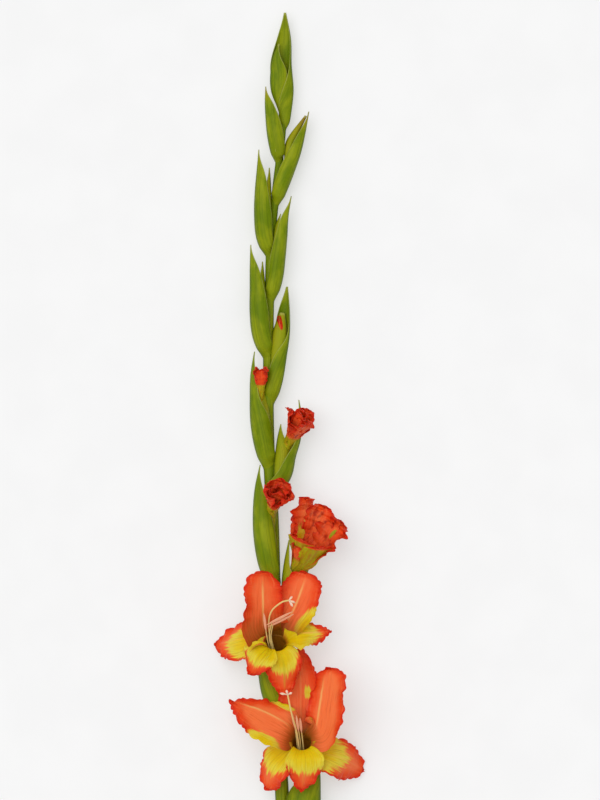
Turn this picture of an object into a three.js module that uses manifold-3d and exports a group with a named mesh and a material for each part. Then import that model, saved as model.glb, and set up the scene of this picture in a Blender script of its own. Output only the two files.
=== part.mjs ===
// A cut gladiolus spike lying on its back, its blooms facing up.
// Millimetres. +Y runs up the stem to the tip, +X to the right and +Z away from the surface it lies on.
import * as THREE from "three";
import { mergeVertices } from "three/addons/utils/BufferGeometryUtils.js";
import Module from "manifold-3d";

const wasm = await Module();
wasm.setup();

// Driving dimensions
const BRACT_THICK = 0.8;
const TEPAL_THICK = 0.8;
const LIFT = 3.4; // of a bract's middle in front of the stem
const FOOT_EASE = 1.7; // from the stem's surface to the middle of a bract's foot
const GAP = 0.35; // left between pieces that lie against each other
const MARGIN_SPREAD = 0.12; // of a bract's width, for each millimetre that it grows to leave that gap
const RIM_WALL = 2.2; // of a bloom's tube at its mouth, wide enough to hold both whorls of tepals
const ROOT_DEPTH = 6; // a tepal's spine starts this far down inside the tube's wall
const ROOT_SHARE = 0.9; // of its distance from the axis at the rim
const ROOT_START = 0.1; // of the way along its spine, where a tepal's blade begins
const TIP_ROUNDING = 0.9;
const BLUNT = 10; // a higher power gives a blunter tip
const WAVE = 2; // of a tepal's edges
const WAVE_FROM = 0.3; // of the way along its spine, where they begin to wave
const WAVE_FULL = 0.75;
const SIDE_LAG = 2; // between the waves of a tepal's two edges, in radians
const HOLLOW_FROM = 0.6; // the throat's floor, as a share of the way from the tube's foot to its mouth
const TUBE_BEND = 0.45; // of the tube's length, straight along the bloom's facing
const TUBE_FLARE = 1.6;
const WHORL_STEP = 0.5; // from the middle of the tube's wall, outwards for outer tepals, inwards for inner

// The stem's centreline from the cut end to the tip, and its radius at each point.
// Its lower part sinks a little below the surface, which shaves a narrow flat for it to rest on.
const STEM = [
  { at: [2, -430, 5.6], r: 6.0 },
  { at: [-1, -340, 5.5], r: 6.0 },
  { at: [-3, -262, 5.4], r: 5.8 },
  { at: [-6, -195, 8.5], r: 5.6 },
  { at: [-10, -125, 10.8], r: 5.5 },
  { at: [-12, -50, 11.2], r: 5.4 },
  { at: [-13.5, 22, 11], r: 5.1 },
  { at: [-16.5, 80, 10.3], r: 4.7 },
  { at: [-17, 150, 9.8], r: 4.2 },
  { at: [-16, 205, 9.4], r: 3.8 },
  { at: [-15, 245, 9], r: 3.5 },
  { at: [-10, 295, 8.8], r: 3.2 },
  { at: [-5.5, 335, 8.6], r: 2.6 },
  { at: [-5, 352, 8.5], r: 1.8 },
];

// Each flower stands in two bracts that wrap round its bud and the front of the stem.
// side is -1 for the left rank. outer and inner are the silhouettes of the two bracts, above the foot.
// The open blooms hide their inner bracts.
const BRACTS = [
  { side: 1, foot: -254, r: 13.6, shape: "broad", flat: 0.75,
    outer: [[20.5, -236], [24, -214], [24.8, -193], [24, -172], [19, -152]] },
  { side: -1, foot: -126, r: 8.8, shape: "open",
    outer: [[-22.5, -111.5], [-25, -94], [-26, -76.5], [-26, -59], [-25, -41]] },
  { side: 1, foot: -50, r: 8.4, shape: "folded",
    outer: [[1.5, -38], [9.5, -27], [14.5, -16], [17, -8], [18.5, 0]],
    innerR: 7.6, inner: [[-6.5, -38], [-6, -27], [-5, -15.5], [-3, -3], [-0.5, 8.5]] },
  { side: -1, foot: -25, r: 9.4, shape: "ajar",
    outer: [[-25.5, -7], [-28.5, 12.5], [-29, 31], [-27.5, 50], [-23.5, 68.5]],
    innerR: 7.6, inner: [[-12.5, -7.5], [-12, 7], [-11.5, 18], [-10.5, 30], [-14, 43.5]] },
  { side: 1, foot: 47, r: 8, shape: "loose",
    outer: [[1.5, 61], [5, 76.5], [9, 91], [10, 106], [7.5, 120.5]],
    innerR: 6.8, inner: [[-12, 58], [-12, 68.5], [-11, 79], [-9.5, 90], [-7, 101]] },
  { side: -1, foot: 67, r: 8.8, shape: "ajar",
    outer: [[-28, 85], [-31, 103.5], [-31.5, 122], [-31, 140.5], [-28, 159]],
    innerR: 7, inner: [[-17, 80.5], [-16.5, 95], [-15.5, 107], [-18, 119], [-20.5, 128.5]] },
  { side: 1, foot: 119, r: 7, shape: "parting", flat: 0.7,
    outer: [[-5.5, 137], [-2.5, 155.5], [0, 174], [0, 192.5], [-1.5, 211]],
    innerShare: [0.3, 0.85, 1, 1, 0.9, 0.3], innerR: 6.2,
    inner: [[-15, 132.5], [-15, 147], [-14.5, 160.5], [-13.2, 174], [-7.5, 190]] },
  { side: -1, foot: 155.5, r: 8.2, shape: "shut",
    outer: [[-29.5, 172.5], [-31.5, 190], [-31.5, 208.5], [-31.5, 227], [-31, 244.5]],
    innerR: 6.8, inner: [[-20.5, 176.5], [-19, 191], [-19, 203.5], [-20, 217], [-21.5, 231]] },
  { side: 1, foot: 201, r: 6.6, shape: "shut",
    outer: [[-5.5, 218], [-3.5, 234], [-2, 251], [-1, 267.5], [1.5, 283.5]],
    innerR: 5.4, inner: [[-14.5, 216.5], [-14.5, 231], [-13.5, 244.5], [-11.5, 258], [-7, 269]] },
  { side: -1, foot: 236.5, r: 7.6, shape: "shut",
    outer: [[-26.5, 251.5], [-28, 269], [-27.5, 286], [-26, 303.5], [-24.5, 320.5]],
    innerR: 6.3, inner: [[-18, 250], [-16.5, 263], [-15, 277], [-15, 291.5], [-16, 306]] },
  { side: 1, foot: 278, r: 6.6, shape: "shut",
    outer: [[-1, 291.5], [4, 304.5], [9, 319], [12.5, 334], [15.5, 351]],
    innerR: 5.4, inner: [[-7, 290], [-5.5, 301], [-4, 313], [-2.2, 327], [9, 346]] },
  { side: -1, foot: 311.5, r: 7, shape: "shut",
    outer: [[-16, 323.5], [-18, 335.5], [-19, 347.5], [-19.5, 359], [-19, 371]],
    innerR: 5.8, inner: [[-7.5, 319], [-6, 328.5], [-6.5, 339], [-9.5, 348.5], [-14.5, 358]] },
  { side: 1, foot: 338, r: 8.8, shape: "last", flat: 0.55, lift: 0,
    share: [0, 0.56, 0.95, 0.95, 0.62, 0.1],
    outer: [[1, 349], [3, 367], [1.5, 387.5], [1, 408.5], [-3, 430]],
    innerShare: [0.3, 0.6, 0.95, 0.95, 0.6, 0.1], innerR: 7.8,
    inner: [[-10, 355.5], [-14.5, 368.5], [-15, 382], [-13, 394.5], [-8.5, 405]] },
];

// Along a bract, from its foot to its tip: its radius as a share of r,
// and its middle's rise in front of the stem as a share of lift
const SHARE = [0, 0.92, 1, 0.88, 0.6, 0.1];
const INNER_SHARE = [0.3, 0.88, 1, 0.88, 0.6, 0.1];
const RISE = [0, 0.82, 1, 0.88, 0.6, 0.3];
const INNER_START = 0.12; // of the way along its outer bract, where an inner one begins
// Margins along a bract, in degrees round from the flower's outer side towards the front
const OUTER_BACK = [-110, -80, -80, -80, -75, -50];
const INNER_BACK = [150, 165, 175, 190, 205, 230];
const SHUT_INNER = [100, 105, 100, 92, 90, 110];
const FRONT = {
  shut: { outer: [150, 150, 140, 125, 105, 50], inner: SHUT_INNER },
  parting: { outer: [150, 150, 110, 45, 30, 40], inner: [90, 80, 55, 30, 20, 30] },
  ajar: { outer: [150, 150, 138, 90, 80, 50], inner: SHUT_INNER },
  loose: { outer: [150, 125, 82, 60, 60, 50], inner: [60, 60, 40, 20, 70, 110] },
  folded: { outer: [150, 145, 110, 45, 35, 40], inner: [20, 20, 20, 95, 110, 110] },
  open: { outer: [150, 145, 110, 45, 35, 40] },
  broad: { outer: [150, 165, 172, 150, 70, 45] },
  last: { outer: [150, 150, 95, 40, 35, 40], inner: [100, 100, 70, 45, 75, 110] },
};
// The outer bracts of these shapes open so far that the front shows the inside of their back
const SPREAD_SHAPES = ["parting", "last"];
const SPREAD_BACK = [-110, -115, -140, -165, -165, -120];

// Open blooms: mouth is the middle of the tube's rim, facing its axis there, foot the tube's lower end.
// A tepal's points after the rim are offsets from the mouth, at any turn round the axis. Its width and cup
// are given from the root inside the tube, over the rim, to the tip.
const BLOOMS = {
  bloom_1: {
    mouth: [10, -152.4, 30], facing: [0.02, 0.62, 0.78], radius: 9,
    foot: [8.5, -205, 13], footRadius: 4, steps: [8, 4], sides: 10,
    tepals: [
      { turn: 148, whorl: -1, points: [[-15, 10, 5], [-36, 21.5, 3], [-58, 33, -5]],
        width: [7, 10, 20, 19.5, 3.5], cup: [50, 50, 20, -4, -10], waves: 2.5, phase: 0.3 },
      { turn: 92, whorl: 1, points: [[-1, 15, -7], [-1, 38, -11], [-1.5, 75, -9]],
        width: [7, 10, 17, 18.5, 9], cup: [50, 50, 16, 2, -8], waves: 3.5, phase: 1.1 },
      { turn: 32, whorl: -1, points: [[16.5, 8, 5], [20.5, 30.5, 7], [23.5, 59.5, 4]],
        width: [7, 10, 17, 16, 14.5], cup: [50, 50, 34, 14, -4], waves: 3.5, phase: 2.2, blunt: 20 },
      { turn: -30, whorl: 1, points: [[16.5, -8.5, 0], [32, -13.5, -6], [49, -23.5, -28]],
        width: [7, 8, 14, 18, 13.5], cup: [50, 46, -8, -14, -22], waves: 3, phase: 0.8 },
      { turn: -88, whorl: -1, points: [[2, -13, 12.5], [1.5, -24.5, 11], [0, -38.5, 2]],
        width: [7, 9.5, 15.5, 14, 9], cup: [50, 50, 2, -12, -22], waves: 3, phase: 1.9, blunt: 8 },
      { turn: -145, whorl: 1, points: [[-16, -11.5, 4], [-24, -21, 2], [-28.5, -38, -8]],
        width: [7, 8, 14, 15.5, 12.5], cup: [50, 50, 4, -12, -22], waves: 3, phase: 3.1, blunt: 12 },
    ],
  },
  bloom_2: {
    mouth: [-10.8, -72.4, 32], facing: [0.06, 0.64, 0.77], radius: 9.5,
    foot: [-18, -110, 15.5], footRadius: 2.4, steps: [8, 4], sides: 10,
    tepals: [
      { turn: 116, whorl: -1, points: [[-10, 10.5, 2], [-10.5, 31, 6], [-11, 56.5, 4]],
        width: [7, 10.5, 20.5, 17, 16], cup: [50, 52, 30, 12, -8], waves: 2.5, phase: 0.6,
        blunt: 14, wave: 2.6 },
      { turn: 56, whorl: 1, points: [[8.5, 14, -4], [17.5, 33, -5], [25.5, 55.5, -7]],
        width: [7, 9.5, 16, 17.5, 14.5], cup: [50, 50, 26, 10, -8], waves: 3.5, phase: 2.4, blunt: 12 },
      { turn: 6, whorl: -1, points: [[16.5, 5, 3], [28, 6.5, 2], [44, 7.5, -6]],
        width: [7, 8.5, 14, 12.5, 3.5], cup: [50, 50, 14, 0, -10], waves: 3, phase: 1.4 },
      { turn: -78, whorl: 1, points: [[5, -13, 9], [6.5, -25, 8], [7, -43, 1]],
        width: [7, 9.5, 15, 14.5, 8], cup: [50, 50, 8, -12, -20], waves: 3, phase: 0.2 },
      { turn: 178, whorl: 1, points: [[-15.5, 3, 0], [-30, 1.5, -8], [-48.9, -3.5, -29]],
        width: [7, 8.5, 16, 19.5, 12], cup: [50, 50, 10, -10, -20], waves: 3, phase: 2.8 },
      { turn: -134, whorl: -1, points: [[-10, -8, 10], [-15.5, -14.5, 13], [-19.5, -26, 8]],
        width: [7, 8.5, 14, 14, 10], cup: [50, 50, 8, -10, -20], waves: 3, phase: 1.7, blunt: 8 },
    ],
  },
  bloom_3: {
    mouth: [5.5, -14, 15.5], facing: [0.28, 0.76, 0.58], radius: 4.2,
    foot: [1, -38, 13], footRadius: 2.2, steps: [5, 3], sides: 8,
    tepals: [
      { turn: 156, whorl: 1, points: [[0, 14, 6], [-2, 29, 10], [-1.5, 46, 13]],
        width: [4, 4.6, 11.5, 12, 10], cup: [50, 50, 40, 26, 0], waves: 3.5, phase: 0.4,
        blunt: 14, wave: 2.6 },
      { turn: 105, whorl: -1, points: [[5, 23, 5], [7, 41, 9], [7, 57, 11]],
        width: [4, 4.6, 12, 13, 11.5], cup: [50, 50, 36, 26, -10], waves: 4, phase: 1.4, blunt: 14, wave: 3 },
      { turn: 62, whorl: 1, points: [[12.5, 22, 3], [17.5, 38, 7], [22, 50.5, 8]],
        width: [4, 4.6, 11, 13, 11.5], cup: [50, 50, 36, 26, -10], waves: 4, phase: 2.1, blunt: 14, wave: 3 },
      { turn: 8, whorl: -1, points: [[17.5, 15, 8], [27.5, 27, 13], [37, 37, 14]],
        width: [4, 4.6, 13, 15.5, 12.5], cup: [50, 50, 40, 26, -6], waves: 4, phase: 0.9,
        blunt: 14, wave: 2.6 },
      { turn: -88, whorl: 1, points: [[10, 4, 10], [16, 10, 19], [21, 17, 28]],
        width: [4, 4.6, 11.5, 15, 13.5], cup: [50, 50, 44, 36, 18], waves: 2, phase: 2.9,
        blunt: 16, wave: 0.8 },
      { turn: -140, whorl: -1, points: [[3.5, 6.5, 10], [3, 15, 19], [2.5, 24, 28]],
        width: [4, 4.6, 12, 14.5, 12], cup: [50, 50, 48, 40, 18], waves: 2, phase: 3.6,
        blunt: 16, wave: 0.8 },
    ],
  },
};

// Buds that show their colour: the tepals stand round the axis, so a point of an outer or inner tepal
// is its distance from the axis and its distance along it.
const BUDS = {
  bloom_4: {
    mouth: [-13.5, 34, 20.5], facing: [0.22, 0.62, 0.75], radius: 4,
    foot: [-20.5, 6, 15], footRadius: 2.4, steps: [3, 3], innerSteps: [2, 2], sides: 6,
    outer: [[5.6, 8], [9, 16], [12.5, 23.5]], inner: [[3.6, 8], [4.8, 16], [6, 25]],
    width: [3, 3.6, 9, 12, 10], narrow: 0.6, cup: [50, 50, 50, 46, 20],
    waves: 3, wave: 2.4, turn: 70,
  },
  bloom_5: {
    mouth: [0, 87.5, 17], facing: [0.36, 0.76, 0.54], radius: 3.6,
    foot: [-4, 64, 13.5], footRadius: 2.4, steps: [3, 3], innerSteps: [2, 2], sides: 6,
    outer: [[5, 9], [8.4, 18], [11.5, 28]], inner: [[3.2, 9], [4.5, 18], [6, 29]],
    width: [2.8, 3.4, 8.4, 11.4, 10], narrow: 0.6, cup: [50, 50, 50, 44, 14],
    waves: 3, wave: 2.4, turn: 30,
  },
  bloom_6: {
    mouth: [-23.2, 127, 16.4], facing: [0.02, 0.96, 0.28], radius: 2.6,
    foot: [-25, 108, 14.2], footRadius: 1.4, steps: [3, 2], sides: 6,
    outer: [[3.2, 6], [4.6, 12.5], [4.8, 20]],
    width: [2.4, 2.8, 4.6, 6.2, 5.4], cup: [60, 60, 60, 50, 24],
    waves: 3, wave: 1.4, turn: 30,
  },
  bloom_7: {
    mouth: [-6.8, 168.5, 12], facing: [0.12, 0.99, 0.06], radius: 2.2,
    foot: [-8.5, 146, 12.6], footRadius: 1.8, steps: [2, 2], sides: 5,
    outer: [[2.4, 6], [2.4, 12], [1.4, 19.5]],
    width: [2.2, 2.4, 3.2, 2.8, 1.4], cup: [60, 60, 60, 50, 20],
    waves: 1.5, wave: 0.3, turn: 40,
  },
};

// Stamens and styles, as offsets from the mouth of their bloom, root first
const STAMEN_R = 0.7;
const ANTHER_R = 1.15;
const ANTHER_SHARE = [0.6, 1, 0.5]; // of that radius at its heel, middle and tip
const HEEL = -0.25; // the anther's heel and middle, as shares of the way from the filament's end to its tip
const MIDDLE = 0.4;
const STYLE_R = 0.7;
const STIGMA_R = 0.9;
const FILAMENTS = {
  bloom_1: {
    stamens: [
      { filament: [[-2.4, -16.5, -12.5], [-4.2, 2, -1], [-5.6, 12.6, 7]], anther: [-8.5, 25, 13] },
      { filament: [[0, -16.5, -12.5], [-1.8, 3, -1], [-3, 11.2, 8]], anther: [-4.6, 21.5, 14.5] },
      { filament: [[2.2, -16.5, -12.5], [0.4, 2, -1], [-0.6, 9.9, 7]], anther: [-1.6, 19.5, 15] },
    ],
    style: [[-0.4, -18.5, -10.5], [-4.4, 8.8, 4.5], [-8.2, 22.6, 14.5], [-11.4, 38.2, 19.5]],
    lobes: [[-17.6, 39.4, 20], [-12.5, 42, 21.5], [-8, 40, 20.5]],
  },
  bloom_2: {
    stamens: [
      { filament: [[-3.8, -12, -10.5], [-6.8, 2, 0.5], [-8.3, 11.5, 8]], anther: [-9.6, 23, 12] },
      { filament: [[-1.8, -13, -10.5], [-5.2, 4, 1.5], [-3.2, 15.8, 11]], anther: [13.2, 24.4, 15.5] },
      { filament: [[0.4, -12, -10.5], [-3.8, 3, 0], [-2.4, 14, 8.5]], anther: [14.2, 22.2, 13] },
    ],
    style: [[-0.6, -14, -8.5], [-5.5, 10, 3], [-4, 23.5, 9], [3.9, 31.3, 13], [10.4, 33.3, 13.5]],
    lobes: [[15.4, 31.3, 13], [13.4, 28.4, 15.5], [13, 36.4, 12]],
  },
};

// Steps along and across
const STEM_STEPS = 18;
const STEM_SIDES = 12;
const BRACT_STEPS = [6, 4];
const INNER_BRACT_STEPS = [4, 3];
const TUBE_STEPS = 4;

const green = new THREE.MeshStandardMaterial({ color: 0x6f8f1c, roughness: 0.55, metalness: 0 });
const stemGreen = new THREE.MeshStandardMaterial({ color: 0x5c7a20, roughness: 0.5, metalness: 0 });
const innerGreen = new THREE.MeshStandardMaterial({ color: 0x98a32a, roughness: 0.55, metalness: 0 });
const orange = new THREE.MeshStandardMaterial({ color: 0xe8512a, roughness: 0.5, metalness: 0 });
const red = new THREE.MeshStandardMaterial({ color: 0xc92a12, roughness: 0.5, metalness: 0 });
const cream = new THREE.MeshStandardMaterial({ color: 0xe6b99a, roughness: 0.6, metalness: 0 });

const ACROSS = new THREE.Vector3(1, 0, 0);
const vec = (p) => new THREE.Vector3(...p);
const radians = THREE.MathUtils.degToRad;
const curveThrough = (points) => new THREE.CatmullRomCurve3(points.map(vec), false, "catmullrom", 0.5);

// A smooth value at u from 0 to 1 through evenly spaced values.
function along(values, u) {
  const last = values.length - 1;
  const curve = curveThrough(values.map((value, i) => [i / last, value, 0]));
  return curve.getPoint(u).y;
}

// a made perpendicular to the unit vector t
const squared = (a, t) => a.clone().addScaledVector(t, -a.dot(t)).normalize();

function solidOf(positions, index) {
  const geometry = new THREE.BufferGeometry();
  geometry.setAttribute("position", new THREE.Float32BufferAttribute(positions, 3));
  geometry.setIndex(index);
  const merged = mergeVertices(geometry, 1e-4);
  const triVerts = new Uint32Array(merged.index.array);
  const vertProperties = merged.attributes.position.array;
  const solid = new wasm.Manifold(new wasm.Mesh({ numProp: 3, vertProperties, triVerts }));
  if (solid.volume() > 0) return solid;
  return new wasm.Manifold(new wasm.Mesh({ numProp: 3, vertProperties, triVerts: triVerts.reverse() }));
}

// A blade of even thickness on both sides of surface(u, v), v from -1 to 1, split alike on both faces.
function blade(surface, [rows, columns], thick, uFrom = 0) {
  const positions = [];
  const step = 1e-3;
  const point = (u, v) => surface(THREE.MathUtils.clamp(u, 0, 1), v);
  for (const face of [0.5, -0.5]) {
    for (let i = 0; i <= rows; i++) {
      const u = uFrom + ((1 - uFrom) * i) / rows;
      for (let j = 0; j <= columns; j++) {
        const v = -1 + (2 * j) / columns;
        const du = point(u + step, v).sub(point(u - step, v));
        const dv = point(u, v + step).sub(point(u, v - step));
        const normal = du.cross(dv).normalize();
        positions.push(...point(u, v).addScaledVector(normal, face * thick).toArray());
      }
    }
  }
  const index = [];
  const wide = columns + 1;
  const back = (rows + 1) * wide;
  const quad = (a, b, c, d) => index.push(a, b, c, a, c, d);
  for (let i = 0; i < rows; i++) {
    for (let j = 0; j < columns; j++) {
      const a = i * wide + j;
      quad(a, a + wide, a + wide + 1, a + 1);
      const b = a + back;
      index.push(b, b + wide + 1, b + wide, b, b + 1, b + wide + 1);
    }
  }
  for (let j = 0; j < columns; j++) {
    quad(j, j + 1, j + 1 + back, j + back);
    const a = rows * wide + j;
    quad(a, a + back, a + 1 + back, a + 1);
  }
  for (let i = 0; i < rows; i++) {
    const a = i * wide;
    quad(a, a + back, a + wide + back, a + wide);
    const b = a + columns;
    quad(b, b + wide, b + wide + back, b + back);
  }
  return solidOf(positions, index);
}

// Rings lofted into one closed body with flat ends. Each ring is a list of points.
function loft(rings) {
  const positions = [];
  const index = [];
  const sides = rings[0].length;
  const middle = (ring) => ring.reduce((sum, p) => sum.add(p), new THREE.Vector3()).divideScalar(sides);
  rings.forEach((ring) => ring.forEach((p) => positions.push(...p.toArray())));
  for (let i = 0; i < rings.length - 1; i++) {
    for (let j = 0; j < sides; j++) {
      const a = i * sides + j;
      const b = i * sides + ((j + 1) % sides);
      index.push(a, b, b + sides, a, b + sides, a + sides);
    }
  }
  positions.push(...middle(rings[0]).toArray(), ...middle(rings.at(-1)).toArray());
  const first = rings.length * sides;
  const top = (rings.length - 1) * sides;
  for (let j = 0; j < sides; j++) {
    index.push(first, (j + 1) % sides, j, first + 1, top + j, top + ((j + 1) % sides));
  }
  return solidOf(positions, index);
}

function ringAt(centre, direction, radius, sides, start = new THREE.Vector3(0, 0, 1)) {
  const a = squared(start, direction);
  const b = direction.clone().cross(a);
  return Array.from({ length: sides }, (_, j) => {
    const angle = (2 * Math.PI * (j + 0.5)) / sides;
    return centre.clone()
      .addScaledVector(a, radius * Math.cos(angle))
      .addScaledVector(b, radius * Math.sin(angle));
  });
}

// A round rod through points, with a radius at each
function rod(points, radii, sides, steps, grow = 0) {
  const curve = curveThrough(points);
  const rings = [];
  for (let i = 0; i <= steps; i++) {
    const u = i / steps;
    rings.push(ringAt(curve.getPoint(u), curve.getTangent(u), along(radii, u) + grow, sides));
  }
  return loft(rings);
}

function stem(grow) {
  return rod(STEM.map((s) => s.at), STEM.map((s) => s.r), STEM_SIDES, STEM_STEPS, grow);
}

// The stem's centre and radius at y
function stemAt(y) {
  const next = STEM.findIndex((s) => s.at[1] > y);
  const [a, b] = next < 0 ? STEM.slice(-2) : [STEM[next - 1], STEM[next]];
  const share = Math.min((y - a.at[1]) / (b.at[1] - a.at[1]), 1);
  const lerp = THREE.MathUtils.lerp;
  return { x: lerp(a.at[0], b.at[0], share), z: lerp(a.at[2], b.at[2], share), r: lerp(a.r, b.r, share) };
}

// The middle line of a bract whose silhouette runs through the points of edge, on the side given by sign
function bractAxis(start, edge, radius, share, sign, lift) {
  const points = edge.map(([x, y], i) => {
    const inwards = sign * radius * share[i + 1];
    return [x - inwards, y, stemAt(y).z + lift * RISE[i + 1]];
  });
  return curveThrough([start, ...points]);
}

function bractSurface(spec, isInner) {
  const { side, foot, r, shape, share = SHARE, lift = LIFT, flat = 1, outer } = spec;
  const { inner, innerR, innerShare = INNER_SHARE } = spec;
  const base = stemAt(foot);
  const outerAxis = bractAxis([base.x, foot, base.z], outer, r, share, side, lift);
  const start = outerAxis.getPoint(INNER_START).toArray();
  const axis = isInner ? bractAxis(start, inner, innerR, innerShare, -side, lift) : outerAxis;
  const radii = isInner ? innerShare.map((part) => part * innerR) : share.map((part) => part * r);
  if (!isInner) radii[0] = base.r + FOOT_EASE;
  const outerBack = SPREAD_SHAPES.includes(shape) ? SPREAD_BACK : OUTER_BACK;
  const back = isInner ? INNER_BACK : outerBack;
  const front = isInner ? FRONT[shape].inner : FRONT[shape].outer;
  return (u, v) => {
    const t = axis.getTangent(u);
    const outwards = squared(new THREE.Vector3(side, 0, 0), t);
    const forwards = squared(new THREE.Vector3(0, 0, 1), t);
    const angle = radians(THREE.MathUtils.lerp(along(back, u), along(front, u), (v + 1) / 2));
    const radius = along(radii, u);
    return axis.getPoint(u)
      .addScaledVector(outwards, radius * Math.cos(angle))
      .addScaledVector(forwards, flat * radius * Math.sin(angle));
  };
}

function bract(spec, isInner, grow) {
  const steps = isInner ? INNER_BRACT_STEPS : BRACT_STEPS;
  const surface = bractSurface(spec, isInner);
  const spread = 1 + MARGIN_SPREAD * grow;
  return blade((u, v) => surface(u, spread * v), steps, BRACT_THICK + 2 * grow);
}

// Directions round a bloom's axis: turn 0 lies to the right, 90 up the stem
function outward(facing, turn) {
  const up = squared(new THREE.Vector3(0, 1, 0), facing);
  const right = up.clone().cross(facing);
  return right.multiplyScalar(Math.cos(radians(turn))).addScaledVector(up, Math.sin(radians(turn)));
}

// A tepal: a spine from inside the tube's rim, with a width, a cupping angle and a wave along its edges
function tepalSurface({ mouth, facing, radius }, tepal) {
  const { turn, whorl, points, width, cup, waves, phase, blunt = BLUNT, wave = WAVE } = tepal;
  const axis = vec(facing).normalize();
  const out = outward(axis, turn);
  const side = axis.clone().cross(out);
  const start = radius + WHORL_STEP * whorl;
  const centre = vec(mouth);
  const rim = centre.clone().addScaledVector(out, start);
  const inside = centre.clone().addScaledVector(out, ROOT_SHARE * start).addScaledVector(axis, -ROOT_DEPTH);
  const limbPoints = points.map((p) => vec(p).add(centre));
  const spine = curveThrough([inside, rim, ...limbPoints].map((p) => p.toArray()));
  return (u, v) => {
    const t = spine.getTangent(u);
    const lateral = squared(side, t);
    const normal = t.clone().cross(lateral);
    const half = along(width, u) * Math.sqrt(1 - TIP_ROUNDING * u ** blunt);
    const angle = radians(along(cup, u)) || 1e-6;
    const limb = THREE.MathUtils.smoothstep(u, WAVE_FROM, WAVE_FULL);
    const wavePhase = 2 * Math.PI * waves * u + phase + (v > 0 ? SIDE_LAG : 0);
    const ripple = wave * limb * Math.abs(v) ** 3 * Math.sin(wavePhase);
    return spine.getPoint(u)
      .addScaledVector(lateral, (half * Math.sin(angle * v)) / angle)
      .addScaledVector(normal, (half * (1 - Math.cos(angle * v))) / angle + ripple);
  };
}

// The tube below the tepals: a bent funnel with a hollow throat
function tube({ mouth, facing, radius, foot, footRadius, sides }, grow) {
  const axis = vec(facing).normalize();
  const end = vec(mouth);
  const start = vec(foot);
  const bend = end.clone().addScaledVector(axis, -TUBE_BEND * end.distanceTo(start));
  const path = new THREE.QuadraticBezierCurve3(start, bend, end);
  const wallAt = (u) => THREE.MathUtils.lerp(footRadius, radius, u ** TUBE_FLARE);
  const funnel = (inset, from) => {
    const rings = [];
    for (let i = 0; i <= TUBE_STEPS; i++) {
      const u = from + ((1 - from) * i) / TUBE_STEPS;
      rings.push(ringAt(path.getPoint(u), path.getTangent(u), wallAt(u) + inset, sides, ACROSS));
    }
    return rings;
  };
  const outer = loft(funnel(RIM_WALL / 2 + grow, 0));
  const hollow = funnel(-RIM_WALL / 2 - grow, HOLLOW_FROM + grow / end.distanceTo(start));
  hollow.push(hollow.at(-1).map((p) => p.clone().addScaledVector(axis, 1)));
  return outer.subtract(loft(hollow));
}

function bloom(spec, tepals, grow) {
  const thick = TEPAL_THICK + 2 * grow;
  const blades = tepals.map((tepal) => {
    return blade(tepalSurface(spec, tepal), tepal.steps ?? spec.steps, thick, ROOT_START);
  });
  return wasm.Manifold.union([tube(spec, grow), ...blades]);
}

function budTepals(spec) {
  const axis = vec(spec.facing).normalize();
  const whorl = (side, line, width, steps) => [0, 120, 240].map((step) => {
    const turn = spec.turn + step + (side < 0 ? 60 : 0);
    const out = outward(axis, turn);
    const points = line.map(([distance, height]) =>
      out.clone().multiplyScalar(distance).addScaledVector(axis, height).toArray());
    return { ...spec, turn, whorl: side, points, width, steps, phase: turn };
  });
  const outer = whorl(1, spec.outer, spec.width, spec.steps);
  if (!spec.inner) return outer;
  return [...outer, ...whorl(-1, spec.inner, spec.width.map((w) => w * spec.narrow), spec.innerSteps)];
}

function stamen(mouth, { filament, anther }, grow) {
  const place = (p) => vec(p).add(vec(mouth));
  const line = filament.map(place);
  const tip = place(anther);
  const heel = line.at(-1).clone().lerp(tip, HEEL);
  const middle = line.at(-1).clone().lerp(tip, MIDDLE);
  const thread = rod(line.map((p) => p.toArray()), filament.map(() => STAMEN_R), 4, 4, grow);
  const podRadii = ANTHER_SHARE.map((share) => share * ANTHER_R);
  const pod = rod([heel, middle, tip].map((p) => p.toArray()), podRadii, 5, 4, grow);
  return thread.add(pod);
}

function style(mouth, { style: line, lobes }, grow) {
  const place = (p) => vec(p).add(vec(mouth)).toArray();
  const points = line.map(place);
  const branches = lobes.map((lobe) => rod([points.at(-1), place(lobe)], [STYLE_R, STIGMA_R], 4, 2, grow));
  return wasm.Manifold.union([rod(points, line.map(() => STYLE_R), 4, 6, grow), ...branches]);
}

// Every piece, from the one that keeps its shape first. Each later one gives way to those before it.
const pieces = [{ name: "stem", material: stemGreen, make: stem }];
const addBracts = (label, material, isInner) => BRACTS.forEach((spec, i) => {
  if (isInner && !spec.inner) return;
  const number = String(i + 1).padStart(2, "0");
  pieces.push({ name: `bract_${label}_${number}`, material, make: (grow) => bract(spec, isInner, grow) });
});
addBracts("outer", green, false);
for (const [name, spec] of Object.entries(BLOOMS)) {
  pieces.push({ name, material: orange, make: (grow) => bloom(spec, spec.tepals, grow) });
}
for (const [name, spec] of Object.entries(BUDS)) {
  pieces.push({ name, material: red, make: (grow) => bloom(spec, budTepals(spec), grow) });
}
addBracts("inner", innerGreen, true);
for (const [name, spec] of Object.entries(FILAMENTS)) {
  const { mouth } = BLOOMS[name];
  const number = name.replace("bloom", "");
  spec.stamens.forEach((line, i) => {
    const label = `stamen${number}_${"abc"[i]}`;
    pieces.push({ name: label, material: cream, make: (grow) => stamen(mouth, line, grow) });
  });
  pieces.push({ name: `style${number}`, material: cream, make: (grow) => style(mouth, spec, grow) });
}

const boxesMeet = (a, b) => [0, 1, 2].every((k) => a.min[k] < b.max[k] && b.min[k] < a.max[k]);
const largest = (solid) => solid.decompose().sort((a, b) => b.volume() - a.volume())[0];

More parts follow.
